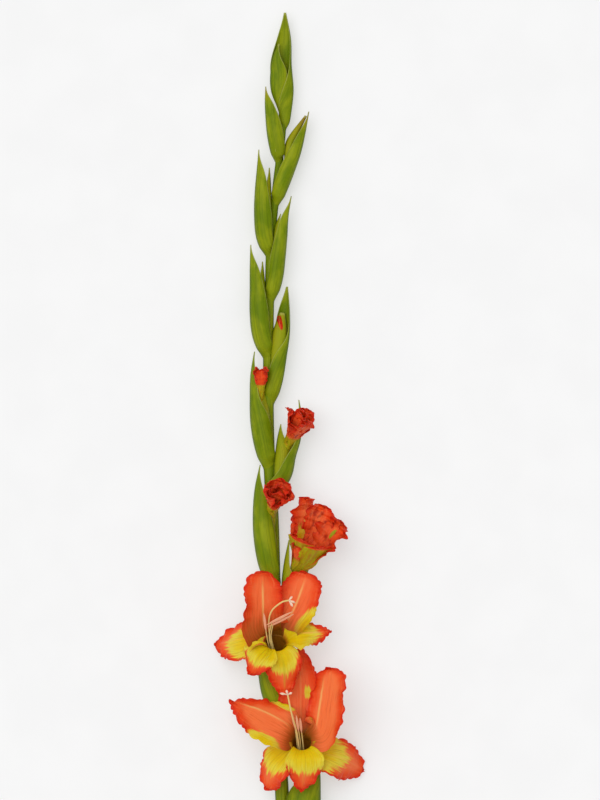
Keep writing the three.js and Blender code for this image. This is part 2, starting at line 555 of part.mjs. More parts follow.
// All that lies under the surface z = 0
const corner = (x, y, z) => new THREE.Vector3(200 * x, 600 * y, z);
const square = (z) => [corner(1, 1, z), corner(-1, 1, z), corner(-1, -1, z), corner(1, -1, z)];
const below = loft([square(-40), square(0)]);

const gladiolus = new THREE.Group();
const placed = [];
for (const { name, material, make } of pieces) {
  let solid = make(0).subtract(below);
  for (const earlier of placed) {
    if (boxesMeet(solid.boundingBox(), earlier.box)) solid = solid.subtract(earlier.grown);
  }
  solid = largest(solid);
  const grown = make(GAP).add(solid);
  placed.push({ grown, box: grown.boundingBox() });
  const { vertProperties, triVerts } = solid.getMesh();
  const geometry = new THREE.BufferGeometry();
  geometry.setAttribute("position", new THREE.BufferAttribute(vertProperties, 3));
  geometry.setIndex(new THREE.BufferAttribute(triVerts, 1));
  const mesh = new THREE.Mesh(geometry, material);
  mesh.name = name;
  gladiolus.add(mesh);
}

export default gladiolus;
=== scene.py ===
# A cut gladiolus spike lying on its back on a pale floor, seen from straight above.
# Points and sizes are in millimetres, with x to the right, y up the stem and z up from the floor.
# make_piece turns them into metres.
import math

import bpy
import numpy as np
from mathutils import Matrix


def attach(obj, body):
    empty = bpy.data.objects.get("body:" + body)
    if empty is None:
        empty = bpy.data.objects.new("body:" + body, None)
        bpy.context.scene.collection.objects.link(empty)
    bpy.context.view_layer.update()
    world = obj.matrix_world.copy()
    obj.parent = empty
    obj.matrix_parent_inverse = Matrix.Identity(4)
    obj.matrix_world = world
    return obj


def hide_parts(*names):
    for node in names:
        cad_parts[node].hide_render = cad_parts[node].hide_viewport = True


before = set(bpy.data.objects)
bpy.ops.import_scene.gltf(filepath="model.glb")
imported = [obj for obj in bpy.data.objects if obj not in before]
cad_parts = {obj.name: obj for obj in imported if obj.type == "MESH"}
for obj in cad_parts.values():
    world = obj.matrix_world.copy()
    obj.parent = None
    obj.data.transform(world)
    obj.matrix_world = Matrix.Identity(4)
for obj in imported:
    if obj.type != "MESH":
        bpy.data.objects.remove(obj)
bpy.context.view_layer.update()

MM = 0.001

# The stem's centreline from the cut end to the tip, with its radius
STEM = [
    (2, -430, 5.6, 6.0), (-1, -340, 5.5, 6.0), (-3, -262, 5.4, 5.8), (-6, -195, 8.5, 5.6),
    (-10, -125, 10.8, 5.5), (-12, -50, 11.2, 5.4), (-13.5, 22, 11, 5.1), (-16.5, 80, 10.3, 4.7),
    (-17, 150, 9.8, 4.2), (-16, 205, 9.4, 3.8), (-15, 245, 9, 3.5), (-10, 295, 8.8, 3.2),
    (-5.5, 335, 8.6, 2.6), (-5, 352, 8.5, 1.8),
]
STEM_ROWS = 320
STEM_SIDES = 60
STEM_RIBS = 15
RIB_HEIGHT = 0.09
NODE_SWELL = 0.3
NODE_REACH = 1.6
FIBRE_RADIUS = 5.5
CUT_RINGS = 6
CUT_HOLLOW = 0.5
# Painted shade darkens the stem's left and right sides where the cosine of the angle round it passes this
STEM_SHADED_FLANK = 0.72

# Each flower stands in two bracts. side is -1 for the left rank, and foot is their place along the
# stem. outer and inner are their silhouettes above it, r and inner_r their radii, and shape says how
# their front margins run. flat squashes them, lift is how far they stand off the stem, and share and
# inner_share are their tapers. brown is how far the tip has dried.
BRACTS = [
    {"side": 1, "foot": -254, "r": 14.8, "shape": "broad", "flat": 0.75, "brown": 0.1,
     "outer": [(20.5, -236), (24, -214), (24.8, -193), (24, -172), (19, -152)]},
    {"side": -1, "foot": -126, "r": 8.8, "shape": "open", "brown": 0.2,
     "outer": [(-22.5, -111.5), (-25, -94), (-26, -76.5), (-26, -59), (-25, -41)]},
    {"side": 1, "foot": -50, "r": 8.4, "shape": "folded", "brown": 0.3,
     "outer": [(1.5, -38), (9.5, -27), (14.5, -16), (17, -8), (18.5, 0)],
     "inner_r": 7.6, "inner": [(-6.5, -38), (-6, -27), (-5, -15.5), (-3, -3), (-0.5, 8.5)]},
    {"side": -1, "foot": -25, "r": 9.4, "shape": "snug", "brown": 0.25,
     "outer": [(-25.5, -7), (-28.5, 12.5), (-29, 31), (-27.5, 50), (-23.5, 68.5)],
     "inner_r": 7.6, "inner": [(-12.5, -7.5), (-12, 7), (-11.5, 18), (-10.5, 30), (-14, 43.5)]},
    {"side": 1, "foot": 47, "r": 8, "shape": "loose", "brown": 0.3,
     "outer": [(1.5, 61), (5, 76.5), (9, 91), (10, 106), (7.5, 120.5)],
     "inner_r": 6.8, "inner": [(-12, 58), (-12, 68.5), (-11, 79), (-9.5, 90), (-7, 101)]},
    {"side": -1, "foot": 67, "r": 8.8, "shape": "ajar", "brown": 0.3,
     "outer": [(-28, 85), (-31, 103.5), (-31.5, 122), (-31, 140.5), (-28, 159)],
     "inner_r": 7, "inner": [(-17, 80.5), (-16.5, 95), (-15.5, 107), (-18, 119), (-20.5, 128.5)]},
    {"side": 1, "foot": 119, "r": 7, "shape": "parting", "flat": 0.7, "brown": 0.5,
     "outer": [(-5.5, 137), (-2.5, 155.5), (0, 174), (0, 192.5), (-1.5, 211)],
     "inner_share": [0.3, 0.85, 1, 1, 0.9, 0.3], "inner_r": 6.2,
     "inner": [(-15, 132.5), (-15, 147), (-14.5, 160.5), (-13.2, 174), (-7.5, 190)]},
    {"side": -1, "foot": 155.5, "r": 8.2, "shape": "shut", "brown": 0.5,
     "outer": [(-29.5, 172.5), (-31.5, 190), (-31.5, 208.5), (-31.5, 227), (-31, 244.5)],
     "inner_r": 6.8, "inner": [(-20.5, 176.5), (-19, 191), (-19, 203.5), (-20, 217), (-21.5, 231)]},
    {"side": 1, "foot": 201, "r": 6.6, "shape": "shut", "brown": 0.6,
     "outer": [(-5.5, 218), (-3.5, 234), (-2, 251), (-1, 267.5), (1.5, 283.5)],
     "inner_r": 5.4, "inner": [(-14.5, 216.5), (-14.5, 231), (-13.5, 244.5), (-11.5, 258), (-7, 269)]},
    {"side": -1, "foot": 236.5, "r": 7.6, "shape": "shut", "brown": 0.7,
     "outer": [(-26.5, 251.5), (-28, 269), (-27.5, 286), (-26, 303.5), (-24.5, 320.5)],
     "inner_r": 6.3, "inner": [(-18, 250), (-16.5, 263), (-15, 277), (-15, 291.5), (-16, 306)]},
    {"side": 1, "foot": 278, "r": 6.6, "shape": "joined", "brown": 1.0,
     "outer": [(-1, 291.5), (4, 304.5), (9, 319), (12.5, 334), (15.5, 351)],
     "inner_r": 5.4, "inner": [(-7, 290), (-5.5, 301), (-4, 313), (-2.2, 327), (12.5, 347.5)]},
    {"side": -1, "foot": 311.5, "r": 7, "shape": "shut", "brown": 1.0,
     "outer": [(-16, 323.5), (-18, 335.5), (-19, 347.5), (-19.5, 359), (-19, 371)],
     "inner_r": 5.8, "inner": [(-7.5, 319), (-6, 328.5), (-6.5, 339), (-9.5, 348.5), (-14.5, 358)]},
    {"side": 1, "foot": 338, "r": 8.8, "shape": "last", "flat": 0.55, "brown": 0.5, "lift": 0,
     "share": [0, 0.56, 0.95, 0.95, 0.62, 0.1],
     "outer": [(1, 349), (3, 367), (1.5, 387.5), (1, 408.5), (-3, 430)],
     "inner_share": [0.3, 0.6, 0.95, 0.95, 0.6, 0.1], "inner_r": 7.8,
     "inner": [(-10, 355.5), (-14.5, 368.5), (-15, 382), (-13, 394.5), (-8.5, 405)]},
]
# From the foot to the tip in even steps: the taper of the radius, and the share of the lift
SHARE = [0, 0.92, 1, 0.88, 0.6, 0.1]
INNER_SHARE = [0.3, 0.88, 1, 0.88, 0.6, 0.1]
RISE = [0, 0.82, 1, 0.88, 0.6, 0.3]
LIFT = 3.4
FOOT_EASE = 1.7
INNER_START = 0.12
# Margins along a bract, in degrees round from the flower's outer side towards the front
OUTER_BACK = [-110, -80, -80, -80, -75, -50]
INNER_BACK = [150, 165, 175, 190, 205, 230]
SHUT_OUTER = [150, 150, 140, 125, 105, 50]
SHUT_INNER = [100, 105, 100, 92, 90, 110]
FRONT = {
    "shut": {"outer": SHUT_OUTER, "inner": SHUT_INNER},
    "parting": {"outer": [150, 150, 110, 45, 30, 40], "inner": [110, 110, 95, 40, 20, 30]},
    "joined": {"outer": SHUT_OUTER, "inner": [110, 110, 105, 60, 10, 0]},
    "ajar": {"outer": [150, 150, 138, 90, 80, 50], "inner": SHUT_INNER},
    "snug": {"outer": [150, 150, 145, 128, 96, 50], "inner": SHUT_INNER},
    "loose": {"outer": [150, 125, 82, 60, 60, 50], "inner": [60, 60, 40, 20, 70, 110]},
    "folded": {"outer": [150, 145, 110, 45, 35, 40], "inner": [20, 20, 20, 95, 110, 110]},
    "open": {"outer": [150, 145, 110, 45, 35, 40]},
    "broad": {"outer": [150, 165, 172, 150, 70, 45]},
    "last": {"outer": [150, 150, 95, 40, 35, 40], "inner": [100, 100, 70, 45, 75, 110]},
}
SPREAD_BACK = [-110, -115, -140, -165, -165, -120]
SPREAD_SHAPES = ("parting", "last")
BRACT_GRID = (80, 32)
BRACT_THICK = 0.75
MARGIN_THICK = 0.3
MARGIN_CURL = 0.35
MARGIN_ROUNDING = 12
FOOT_CROWDING = 1.2
FOOT_GAP = 0.1
FOOT_SLANT = 2.6
FOOT_REACH = 0.11
PALE_REACH = 22
BROWN_FROM = 0.68
# Painted shade on a bract's flanks, full where the sine of its angle round is below the first and gone above
# the second
SHADED_FLANK = (0.1, 0.75)
TIP_MARGIN = 0.25
BRACT_SEED = 7.3
INNER_SEED = 3.1

# Open blooms. A tepal's turn is its place round the mouth, from the right towards the tip of the
# spike, and whorl is 1 for the outer three. Its points are offsets from the mouth. width is half its
# breadth and cup the bend of each half in degrees, from the root inside the tube, over the tube's
# rim, to the tip. waves, phase and wave are the number, start and height of its long waves, and frill
# is the size of its ruffles. blunt squares its tip off. What a tepal leaves out is in USUAL_TEPAL.
# yellow holds patches of yellow as (place along, place across, reach along, reach across, strength),
# ruddy is its redness, and shade how far the throat's brown runs up it; that brown is partly the
# flower's own and partly painted shade in the deep throat. rib is the midrib's paleness, or greenness
# below nought, and rib_at its place across. Its outside is green at the root, which fades between the
# two places of green, and its red rim starts between the two places of plain.
YELLOW_ROOT = (0.25, 0, 0.25, 4, 1.3)
USUAL_TEPAL = {
    "waves": 3, "wave": 2, "blunt": 10, "yellow": [], "ruddy": 0.5, "rib": 0, "rib_at": 0,
    "shade": 0.4, "green": (0.3, 0.6), "plain": (0.35, 0.62),
}
FURLED_LIP = {
    "waves": 2, "wave": 0.8, "frill": 0.7, "blunt": 16, "yellow": [(0.3, 0, 0.3, 1, 0.8)],
    "ruddy": 0.6, "green": (0.84, 1), "plain": (0.75, 0.95),
}
BLOOMS = {
    "bloom_1": {
        "mouth": (10, -152.4, 30), "facing": (0.02, 0.62, 0.78), "radius": 9,
        "foot": (8.5, -205, 13), "foot_radius": 4,
        "tepals": [
            {"turn": 148, "whorl": -1, "points": [(-15, 10, 5), (-36, 21.5, 3), (-58, 33, -5)],
             "width": (7, 10, 20, 19.5, 3.5), "cup": (50, 50, 20, -4, -10), "waves": 2.5, "phase": 0.3,
             "yellow": [(0.6, 0.95, 0.16, 0.5, 1.15), (0.6, -1, 0.16, 0.32, 0.9)],
             "ruddy": 0.15, "rib": 1, "rib_at": -0.3, "shade": 0.72},
            {"turn": 92, "whorl": 1, "points": [(-1, 15, -7), (-1, 38, -11), (-1.5, 75, -9)],
             "width": (7, 9, 17, 18.5, 9), "cup": (50, 50, 16, 2, -8), "waves": 3.5, "phase": 1.1,
             "yellow": [(0.76, -0.3, 0.06, 0.25, 0.75)], "ruddy": 0.56, "rib": 0.2, "shade": 0.85},
            {"turn": 32, "whorl": -1, "points": [(16.5, 8, 4), (20.5, 30.5, 5.5), (23.5, 59.5, 3.5)],
             "width": (5, 6.5, 19, 18, 16), "cup": (50, 50, 28, 10, -6), "waves": 3.5, "phase": 2.2,
             "ruddy": 0.1, "rib": 1, "rib_at": 0.4, "blunt": 20, "shade": 0.6},
            {"turn": -30, "whorl": 1, "points": [(16.5, -8.5, 0), (32, -13.5, -6), (49, -23.5, -28)],
             "width": (5, 5, 14, 18, 13.5), "cup": (50, 46, -8, -14, -22), "phase": 0.8,
             "yellow": [(0.4, 0.1, 0.5, 1.3, 1.2), YELLOW_ROOT], "ruddy": 0.45, "rib": 0.2},
            {"turn": -88, "whorl": -1, "points": [(2, -13, 12.5), (1.5, -24.5, 11), (0, -38.5, 2)],
             "width": (7, 8.5, 15.5, 14, 9), "cup": (50, 50, 2, -12, -22), "phase": 1.9,
             "yellow": [(0.34, 0, 0.5, 1.7, 1.3), YELLOW_ROOT], "rib": -0.3, "blunt": 8, "shade": 0.2},
            {"turn": -145, "whorl": 1, "points": [(-16, -11.5, 4), (-24, -21, 2), (-28.5, -38, -8)],
             "width": (5, 5, 14, 15.5, 12.5), "cup": (50, 50, 4, -12, -22), "phase": 3.1,
             "yellow": [(0.44, -0.15, 0.46, 1.2, 1.2), YELLOW_ROOT], "blunt": 12},
        ],
    },
    "bloom_2": {
        "mouth": (-10.8, -72.4, 32), "facing": (0.06, 0.64, 0.77), "radius": 9.5,
        "foot": (-18, -110, 15.5), "foot_radius": 2.4,
        "tepals": [
            {"turn": 116, "whorl": -1, "points": [(-10, 10.5, 2), (-10.5, 31, 6), (-11, 56.5, 4)],
             "width": (7, 10.5, 20.5, 17, 16), "cup": (50, 52, 30, 12, -8), "waves": 2.5, "phase": 0.6,
             "rib": 1, "blunt": 14, "shade": 0.95, "wave": 2.6},
            {"turn": 56, "whorl": 1, "points": [(8.5, 14, -4), (17.5, 33, -4), (25, 55.5, -4.5)],
             "width": (7, 9.5, 16, 18, 16.5), "cup": (50, 50, 26, 10, -8), "waves": 3.5, "phase": 2.4,
             "yellow": [(0.58, -0.9, 0.2, 0.55, 1.2)], "rib": 0.9, "blunt": 16, "shade": 0.85},
            {"turn": 6, "whorl": -1, "points": [(16.5, 6, 2), (28, 7, 1), (44, 7.5, -6)],
             "width": (5, 6, 16.5, 13, 3.5), "cup": (50, 50, 14, 0, -10), "phase": 1.4,
             "yellow": [(0.5, 0, 0.44, 1.3, 1.3), YELLOW_ROOT], "ruddy": 0.4, "rib": 0.5, "shade": 0.42},
            {"turn": -78, "whorl": 1, "points": [(5, -13, 9), (6.5, -25, 8), (7, -43, 1)],
             "width": (7, 9.5, 15, 14.5, 8), "cup": (50, 50, 8, -12, -20), "phase": 0.2,
             "yellow": [(0.42, 0, 0.42, 1.0, 1.3), YELLOW_ROOT], "ruddy": 0.55, "rib": -1, "shade": 0.2},
            {"turn": 178, "whorl": 1, "points": [(-15.5, 3, 0), (-30, 1.5, -8), (-48.2, -3.5, -29)],
             "width": (7, 8.5, 16, 19.5, 12), "cup": (50, 50, 10, -10, -20), "phase": 2.8,
             "yellow": [(0.58, 0.15, 0.34, 1.0, 1.3)], "rib": 0.2, "shade": 0.35},
            {"turn": -134, "whorl": -1, "points": [(-10, -8, 10), (-15.5, -14.5, 13), (-19.5, -26, 8)],
             "width": (5, 5.5, 14, 14, 10), "cup": (50, 50, 8, -10, -20), "phase": 1.7,
             "yellow": [(0.38, 0, 0.54, 1.6, 1.3), YELLOW_ROOT], "blunt": 8, "shade": 0.36},
        ],
    },
    "bloom_3": {
        "mouth": (5.5, -14, 15.5), "facing": (0.28, 0.76, 0.58), "radius": 4.2,
        "foot": (1, -38, 13), "foot_radius": 2.2, "frill": 2.3,
        "tepals": [
            {"turn": 156, "whorl": 1, "points": [(-2.5, 13, 5), (-4.5, 28, 8), (-2.5, 46, 12)],
             "width": (4, 5.5, 15, 14, 11), "cup": (50, 50, 54, 44, 10), "waves": 3.5, "phase": 0.4,
             "yellow": [(0.5, -0.3, 0.25, 0.6, 0.8)], "ruddy": 0.7, "rib": 0.1, "blunt": 14, "frill": 2},
            {"turn": 105, "whorl": -1, "points": [(4, 22, 5), (6.4, 41, 9), (7, 57, 11)],
             "width": (4, 5.5, 14.5, 14, 11.5), "cup": (50, 50, 36, 26, -10), "waves": 4, "phase": 1.4,
             "yellow": [(0.5, 0.2, 0.24, 0.7, 0.9)], "ruddy": 0.6, "rib": 0.1, "blunt": 14, "wave": 3},
            {"turn": 62, "whorl": 1, "points": [(12.5, 22, 3), (17.5, 38, 7), (22, 50.5, 8)],
             "width": (4, 4.6, 11, 13, 11.5), "cup": (50, 50, 36, 26, -10), "waves": 4, "phase": 2.1,
             "ruddy": 0.7, "rib": 0.1, "blunt": 14, "wave": 3},
            {"turn": 8, "whorl": -1, "points": [(17.5, 15, 8), (27.5, 27, 13), (37, 37, 14)],
             "width": (4, 4.6, 13, 15.5, 12.5), "cup": (50, 50, 40, 26, -6), "waves": 4, "phase": 0.9,
             "yellow": [(0.78, -0.1, 0.1, 0.16, 0.9)], "ruddy": 0.8, "rib": 0.1, "blunt": 14,
             "wave": 2.6},
            {"turn": -88, "whorl": 1, "points": [(10, 4, 10), (16, 10, 19), (21, 17, 28)],
             "width": (4, 4.6, 11.5, 15, 13.5), "cup": (50, 50, 44, 36, 18), "phase": 2.9,
             **FURLED_LIP},
            {"turn": -140, "whorl": -1, "points": [(3.5, 6.5, 10), (3, 15, 19), (2.5, 24, 28)],
             "width": (4, 4.6, 13.5, 16.5, 13), "cup": (50, 50, 50, 44, 20), "phase": 3.6,
             **FURLED_LIP},
        ],
    },
}

# Buds that show their colour. A point of an outer or inner tepal is its distance from the axis and
# along it, turn is the first tepal's place, and the rest is as for the open blooms.
BUDS = {
    "bloom_4": {
        "mouth": (-13.5, 34, 20.5), "facing": (0.22, 0.62, 0.75), "radius": 4,
        "foot": (-20.5, 6, 15), "foot_radius": 2.4, "frill": 1.8,
        "outer": [(5.6, 8), (9, 16), (12.5, 23.5)], "inner": [(3.6, 8), (4.4, 16), (4.2, 25)],
        "width": (3, 3.6, 9, 12, 10), "cup": (50, 50, 50, 46, 20),
        "waves": 3, "wave": 2.4, "turn": 70,
    },
    "bloom_5": {
        "mouth": (0, 87.5, 17), "facing": (0.36, 0.76, 0.54), "radius": 3.6,
        "foot": (-4, 64, 13.5), "foot_radius": 2.4, "frill": 1.7,
        "outer": [(5, 9), (8.4, 18), (11.5, 28)], "inner": [(3.2, 9), (4, 18), (4, 30)],
        "width": (2.8, 3.4, 8.4, 11.4, 10), "cup": (50, 50, 50, 44, 14),
        "waves": 3, "wave": 2.4, "turn": 30,
    },
    "bloom_6": {
        "mouth": (-23.2, 127, 16.4), "facing": (0.02, 0.96, 0.28), "radius": 2.6,
        "foot": (-25, 108, 14.2), "foot_radius": 1.4,
        "outer": [(3.2, 6), (4.6, 12.5), (4.8, 20)],
        "width": (2.4, 2.8, 4.6, 6.2, 5.4), "cup": (60, 60, 60, 50, 24), "waves": 3, "wave": 1.4,
        "turn": 30, "frill": 1.7, "green": (0.42, 0.62),
    },
    "bloom_7": {
        "mouth": (-4.6, 168.5, 12), "facing": (-0.2, 0.97, 0.06), "radius": 2.2,
        "foot": (-8.5, 146, 12.6), "foot_radius": 1.8,
        "outer": [(2.4, 6), (2.4, 12), (1.4, 19.5)],
        "width": (2.2, 2.4, 3.2, 2.8, 1.4), "cup": (60, 60, 60, 50, 20), "waves": 1.5, "wave": 0.3,
        "turn": 40,
    },
}
TEPAL_GRID = (100, 60)
BUD_GRID = (64, 40)
BUD_INNER_WIDTH = 0.8
BUD_GREEN = (0.25, 0.6)
TEPAL_THICK = 0.6
RIM_THICK = 0.3
SIDE_LAG = 2
WHORL_STEP = 0.5
ROOT_DEPTH = 6
ROOT_SHARE = 0.9
TIP_CROWDING = 1.7
TIP_ROUNDING = 0.995
FRILLS = [(6.5, 1.1), (3.1, 0.4)]
FRILL_REACH = 4
# The places along a tepal between which its ruffles set in and its rib ends, and where its brown,
# partly painted shade of the throat, fades
LIMB = (0.3, 0.75)
RIB_END = (0.8, 0.97)
SHADE_START = 0.1
SCALLOP_LENGTH = 6.2
SCALLOP_HEIGHT = 1.3
SCALLOP_REACH = 2.5
SCALLOP_SHARPNESS = 0.7
SCALLOP_LEVEL = 0.8
UNEVENNESS = 0.35
UNEVEN_PITCH = 1.7
PLAIN_ROOT = 12
FULL_SIZE = 18
RIB_LIFT = 0.35
RIB_WIDTH = 1.6
VEIN_SPREAD = 0.45
TEPAL_SEED = 5.7
YELLOW_PEAK = 1.15
YELLOW_MOST = 1.2
TUBE_ROWS_OUTSIDE = 28
TUBE_ROWS_INSIDE = 20
TUBE_SIDES = 48
TUBE_WALL = 1.2
TUBE_BEND = 0.45
TUBE_FLARE = 1.6
TUBE_END = 0.96
THROAT_FLOOR = 0.5
# A tube counts as this far from any rib or rim
FAR_OFF = 20

# Stamens and styles as offsets from the mouth, root first
FILAMENTS = {
    "bloom_1": {
        "stamens": [
            ([(-2.4, -16.5, -12.5), (-4.2, 2, -1), (-5.6, 12.6, 7)], (-8.5, 25, 13)),
            ([(0, -16.5, -12.5), (-1.8, 3, -1), (-3, 11.2, 8)], (-4.6, 21.5, 14.5)),
            ([(2.2, -16.5, -12.5), (0.4, 2, -1), (-0.6, 9.9, 7)], (-1.6, 19.5, 15)),
        ],
        "style": [(-0.4, -18.5, -10.5), (-4.4, 8.8, 4.5), (-8.2, 22.6, 14.5), (-11.4, 38.2, 19.5)],
        "lobes": [(-17.6, 39.4, 20), (-12.5, 42, 21.5), (-8, 40, 20.5)],
    },
    "bloom_2": {
        "stamens": [
            ([(-3.8, -12, -10.5), (-6.8, 2, 0.5), (-8.3, 11.5, 8)], (-9.6, 23, 12)),
            ([(-1.8, -13, -10.5), (-5.2, 4, 1.5), (-3.2, 15.8, 11)], (13.2, 24.4, 15.5)),
            ([(0.4, -12, -10.5), (-3.8, 3, 0), (-2.4, 14, 8.5)], (14.2, 22.2, 13)),
        ],
        "style": [(-0.6, -14, -8.5), (-5.5, 10, 3), (-4, 23.5, 9), (3.9, 31.3, 13), (10.4, 33.3, 13.5)],
        "lobes": [(15.4, 31.3, 13), (13.4, 28.4, 15.5), (13, 36.4, 12)],
    },
}
FILAMENT_R = 0.6
FILAMENT_TAPER = (1, 0.9, 0.7)
FILAMENT_GRID = (48, 16)
ANTHER_R = 1.1
ANTHER_TAPER = (0.25, 0.85, 1, 0.8, 0.2)
ANTHER_GRID = (60, 24)
ANTHER_GROOVES = 0.45
ANTHER_HEEL = 0.25
ANTHER_MIDDLE = 0.4
STYLE_R = 0.65
STYLE_GRID = (72, 16)
STIGMA_R = 0.85
STIGMA_GRID = (36, 16)
STIGMA_GROOVES = 0.5
STIGMA_ARCH = 0.8

# The camera stands so far off that it sees the spike almost without perspective. Its height, the
# floor's size and its drop are in metres. A lamp has a strength, an angle across and two tilts.
PHOTO_CENTRE = (8.4, 120.4)
MM_PER_PIXEL = 0.8
PHOTO_HEIGHT = 800
CAMERA_HEIGHT = 10.0
SENSOR = 36
FLOOR_SIZE = 30
FLOOR_DROP = 0.0002
SKY = 0.5
LAMPS = {"key": (1.45, 60, -14, -20), "fill": (0.25, 90, 15, 25)}


def colour(red, green, blue):
    """A colour given as seen on a screen, 0 to 255, in the renderer's linear values."""
    return tuple(((c / 255 + 0.055) / 1.055) ** 2.4 if c > 10 else c / 255 / 12.92
                 for c in (red, green, blue)) + (1,)


SALMON = colour(250, 124, 66)
ORANGE = colour(236, 74, 22)
SCARLET = colour(214, 38, 6)
CRIMSON = colour(146, 16, 2)
EMBER = colour(196, 56, 10)
BLUSH = colour(246, 132, 80)
YELLOW = colour(224, 192, 0)
PALE_YELLOW = colour(226, 206, 60)
PEACH = colour(244, 178, 104)
BRONZE = colour(160, 78, 12)
OLIVE = colour(118, 74, 4)
UNDER_GREEN = colour(172, 164, 10)
UNDER_BRONZE = colour(176, 108, 18)
LEAF = colour(108, 130, 0)
LEAF_DARK = colour(68, 90, 0)
LEAF_LIGHT = colour(146, 156, 16)
LEAF_GOLD = colour(156, 150, 16)
MARGIN = colour(176, 178, 96)
BROWN = colour(136, 98, 36)
CREAM = colour(230, 200, 126)
ANTHER_PINK = colour(236, 162, 128)
STIGMA_PINK = colour(246, 210, 184)
PITH = colour(206, 212, 160)
FLOOR = colour(188, 188, 188)
FLOOR_SHADE = colour(185, 185, 185)
FLOOR_GLOW = 0.44


def spline(values, u):
    """A smooth curve through evenly spaced rows of values, at each u from 0 to 1."""
    rows = np.asarray(values, float).reshape(len(values), -1)
    padded = np.vstack([2 * rows[0] - rows[1], rows, 2 * rows[-1] - rows[-2]])
    spans = len(rows) - 1
    place = np.clip(u, 0, 1) * spans
    first = np.minimum(place.astype(int), spans - 1)
    t = (place - first)[:, None]
    a, b, c, d = (padded[first + k] for k in range(4))
    leave, arrive = (c - a) / 2, (d - b) / 2
    return b + t * (leave + t * (3 * (c - b) - 2 * leave - arrive + t * (2 * (b - c) + leave + arrive)))


def along(values, u):
    return spline(values, u)[:, 0]


def unit(vectors):
    vectors = np.asarray(vectors, float)
    return vectors / np.maximum(np.linalg.norm(vectors, axis=-1, keepdims=True), 1e-12)


def squared(vector, tangents):
    """The vector made perpendicular to each of the unit tangents."""
    vector = np.broadcast_to(np.asarray(vector, float), tangents.shape)
    return unit(vector - (vector * tangents).sum(-1, keepdims=True) * tangents)


def tangents_of(values, u):
    step = 1e-3
    return unit(spline(values, u + step) - spline(values, u - step))


def smoothstep(value, low, high):
    t = np.clip((value - low) / (high - low), 0, 1)
    return t * t * (3 - 2 * t)


def travelled(line):
    """The distance gone along a line of points."""
    steps = np.linalg.norm(np.diff(line, axis=0), axis=1)
    return np.concatenate([[0], np.cumsum(steps)])


def quads(numbers):
    corners = (numbers[:-1, :-1], numbers[1:, :-1], numbers[1:, 1:], numbers[:-1, 1:])
    return np.stack(corners, -1).reshape(-1, 4)


def sheet(points, thick, marks):
    """A thin closed body on a grid of points. marks are grids of numbers that its material reads."""
    rows, columns = points.shape[:2]
    normals = unit(np.cross(np.gradient(points, axis=0), np.gradient(points, axis=1)))
    half = np.broadcast_to(thick, (rows, columns))[..., None] / 2
    numbers = np.arange(rows * columns).reshape(rows, columns)
    under = numbers + rows * columns
    border = np.concatenate([numbers[:, 0], numbers[-1, 1:], numbers[-2::-1, -1], numbers[0, -2:0:-1]])
    after = np.roll(border, -1)
    rim = np.stack([after, border, border + rows * columns, after + rows * columns], -1)
    both = {name: np.tile(np.broadcast_to(grid, (rows, columns)).ravel(), 2) for name, grid in marks.items()}
    both["outside"] = np.repeat([0.0, 1.0], rows * columns)
    upper_side = (points + normals * half).reshape(-1, 3)
    lower_side = (points - normals * half).reshape(-1, 3)
    vertices = np.concatenate([upper_side, lower_side])
    return vertices, np.concatenate([quads(numbers), quads(under[:, ::-1]), rim]), both


def rings_body(rings, marks):
    """A closed body through rings of points. Its two ends are closed by a fan."""
    count, sides = rings.shape[:2]
    vertices = np.concatenate([rings.reshape(-1, 3), rings[:1].mean(1), rings[-1:].mean(1)])
    numbers = np.arange(count * sides).reshape(count, sides)
    around = np.concatenate([numbers, numbers[:, :1]], 1)
    first, last = count * sides, count * sides + 1
    low, high = numbers[0], numbers[-1]
    faces = quads(around[:, ::-1]).tolist()
    faces += np.stack([np.full(sides, first), np.roll(low, -1), low], -1).tolist()
    faces += np.stack([np.full(sides, last), high, np.roll(high, -1)], -1).tolist()
    grids = {}
    for name, grid in marks.items():
        grid = np.broadcast_to(grid, (count, sides))
        grids[name] = np.concatenate([grid.ravel(), grid[:1].mean(1), grid[-1:].mean(1)])
    return vertices, faces, grids


def ring_angles(sides):
    return 2 * np.pi * np.arange(sides) / sides


def ring_grid(line, directions, radii, sides):
    """Rings of points round a line. radii holds one number for each ring, or one for each point."""
    right = squared((1, 0, 0), directions)[:, None]
    ahead = np.cross(directions, right[:, 0])[:, None]
    angle = ring_angles(sides)[None, :, None]
    radii = radii.reshape(len(line), -1, 1)
    return line[:, None] + radii * (np.cos(angle) * right + np.sin(angle) * ahead)


def joined(bodies):
    """Several bodies as one list of vertices, faces and marks."""
    names = sorted({name for body in bodies for name in body[2]})
    vertices, faces, marks = [], [], {name: [] for name in names}
    start = 0
    for points, polygons, grids in bodies:
        vertices.append(points)
        faces += [[start + corner for corner in polygon] for polygon in polygons]
        for name in names:
            marks[name].append(grids.get(name, np.zeros(len(points))))
        start += len(points)
    return np.concatenate(vertices), faces, {name: np.concatenate(parts) for name, parts in marks.items()}


def make_piece(name, bodies, material, nodes):
    vertices, faces, marks = joined(bodies)
    vertices[:, 2] = np.maximum(vertices[:, 2], 0)
    mesh = bpy.data.meshes.new(name)
    mesh.from_pydata((vertices * MM).tolist(), [], faces)
    for mark, values in marks.items():
        mesh.attributes.new(mark, "FLOAT", "POINT").data.foreach_set("value", values.astype(np.float32))
    mesh.shade_smooth()
    mesh.materials.append(material)
    piece = bpy.data.objects.new(name, mesh)
    bpy.context.scene.collection.objects.link(piece)
    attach(piece, "root")
    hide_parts(*nodes)


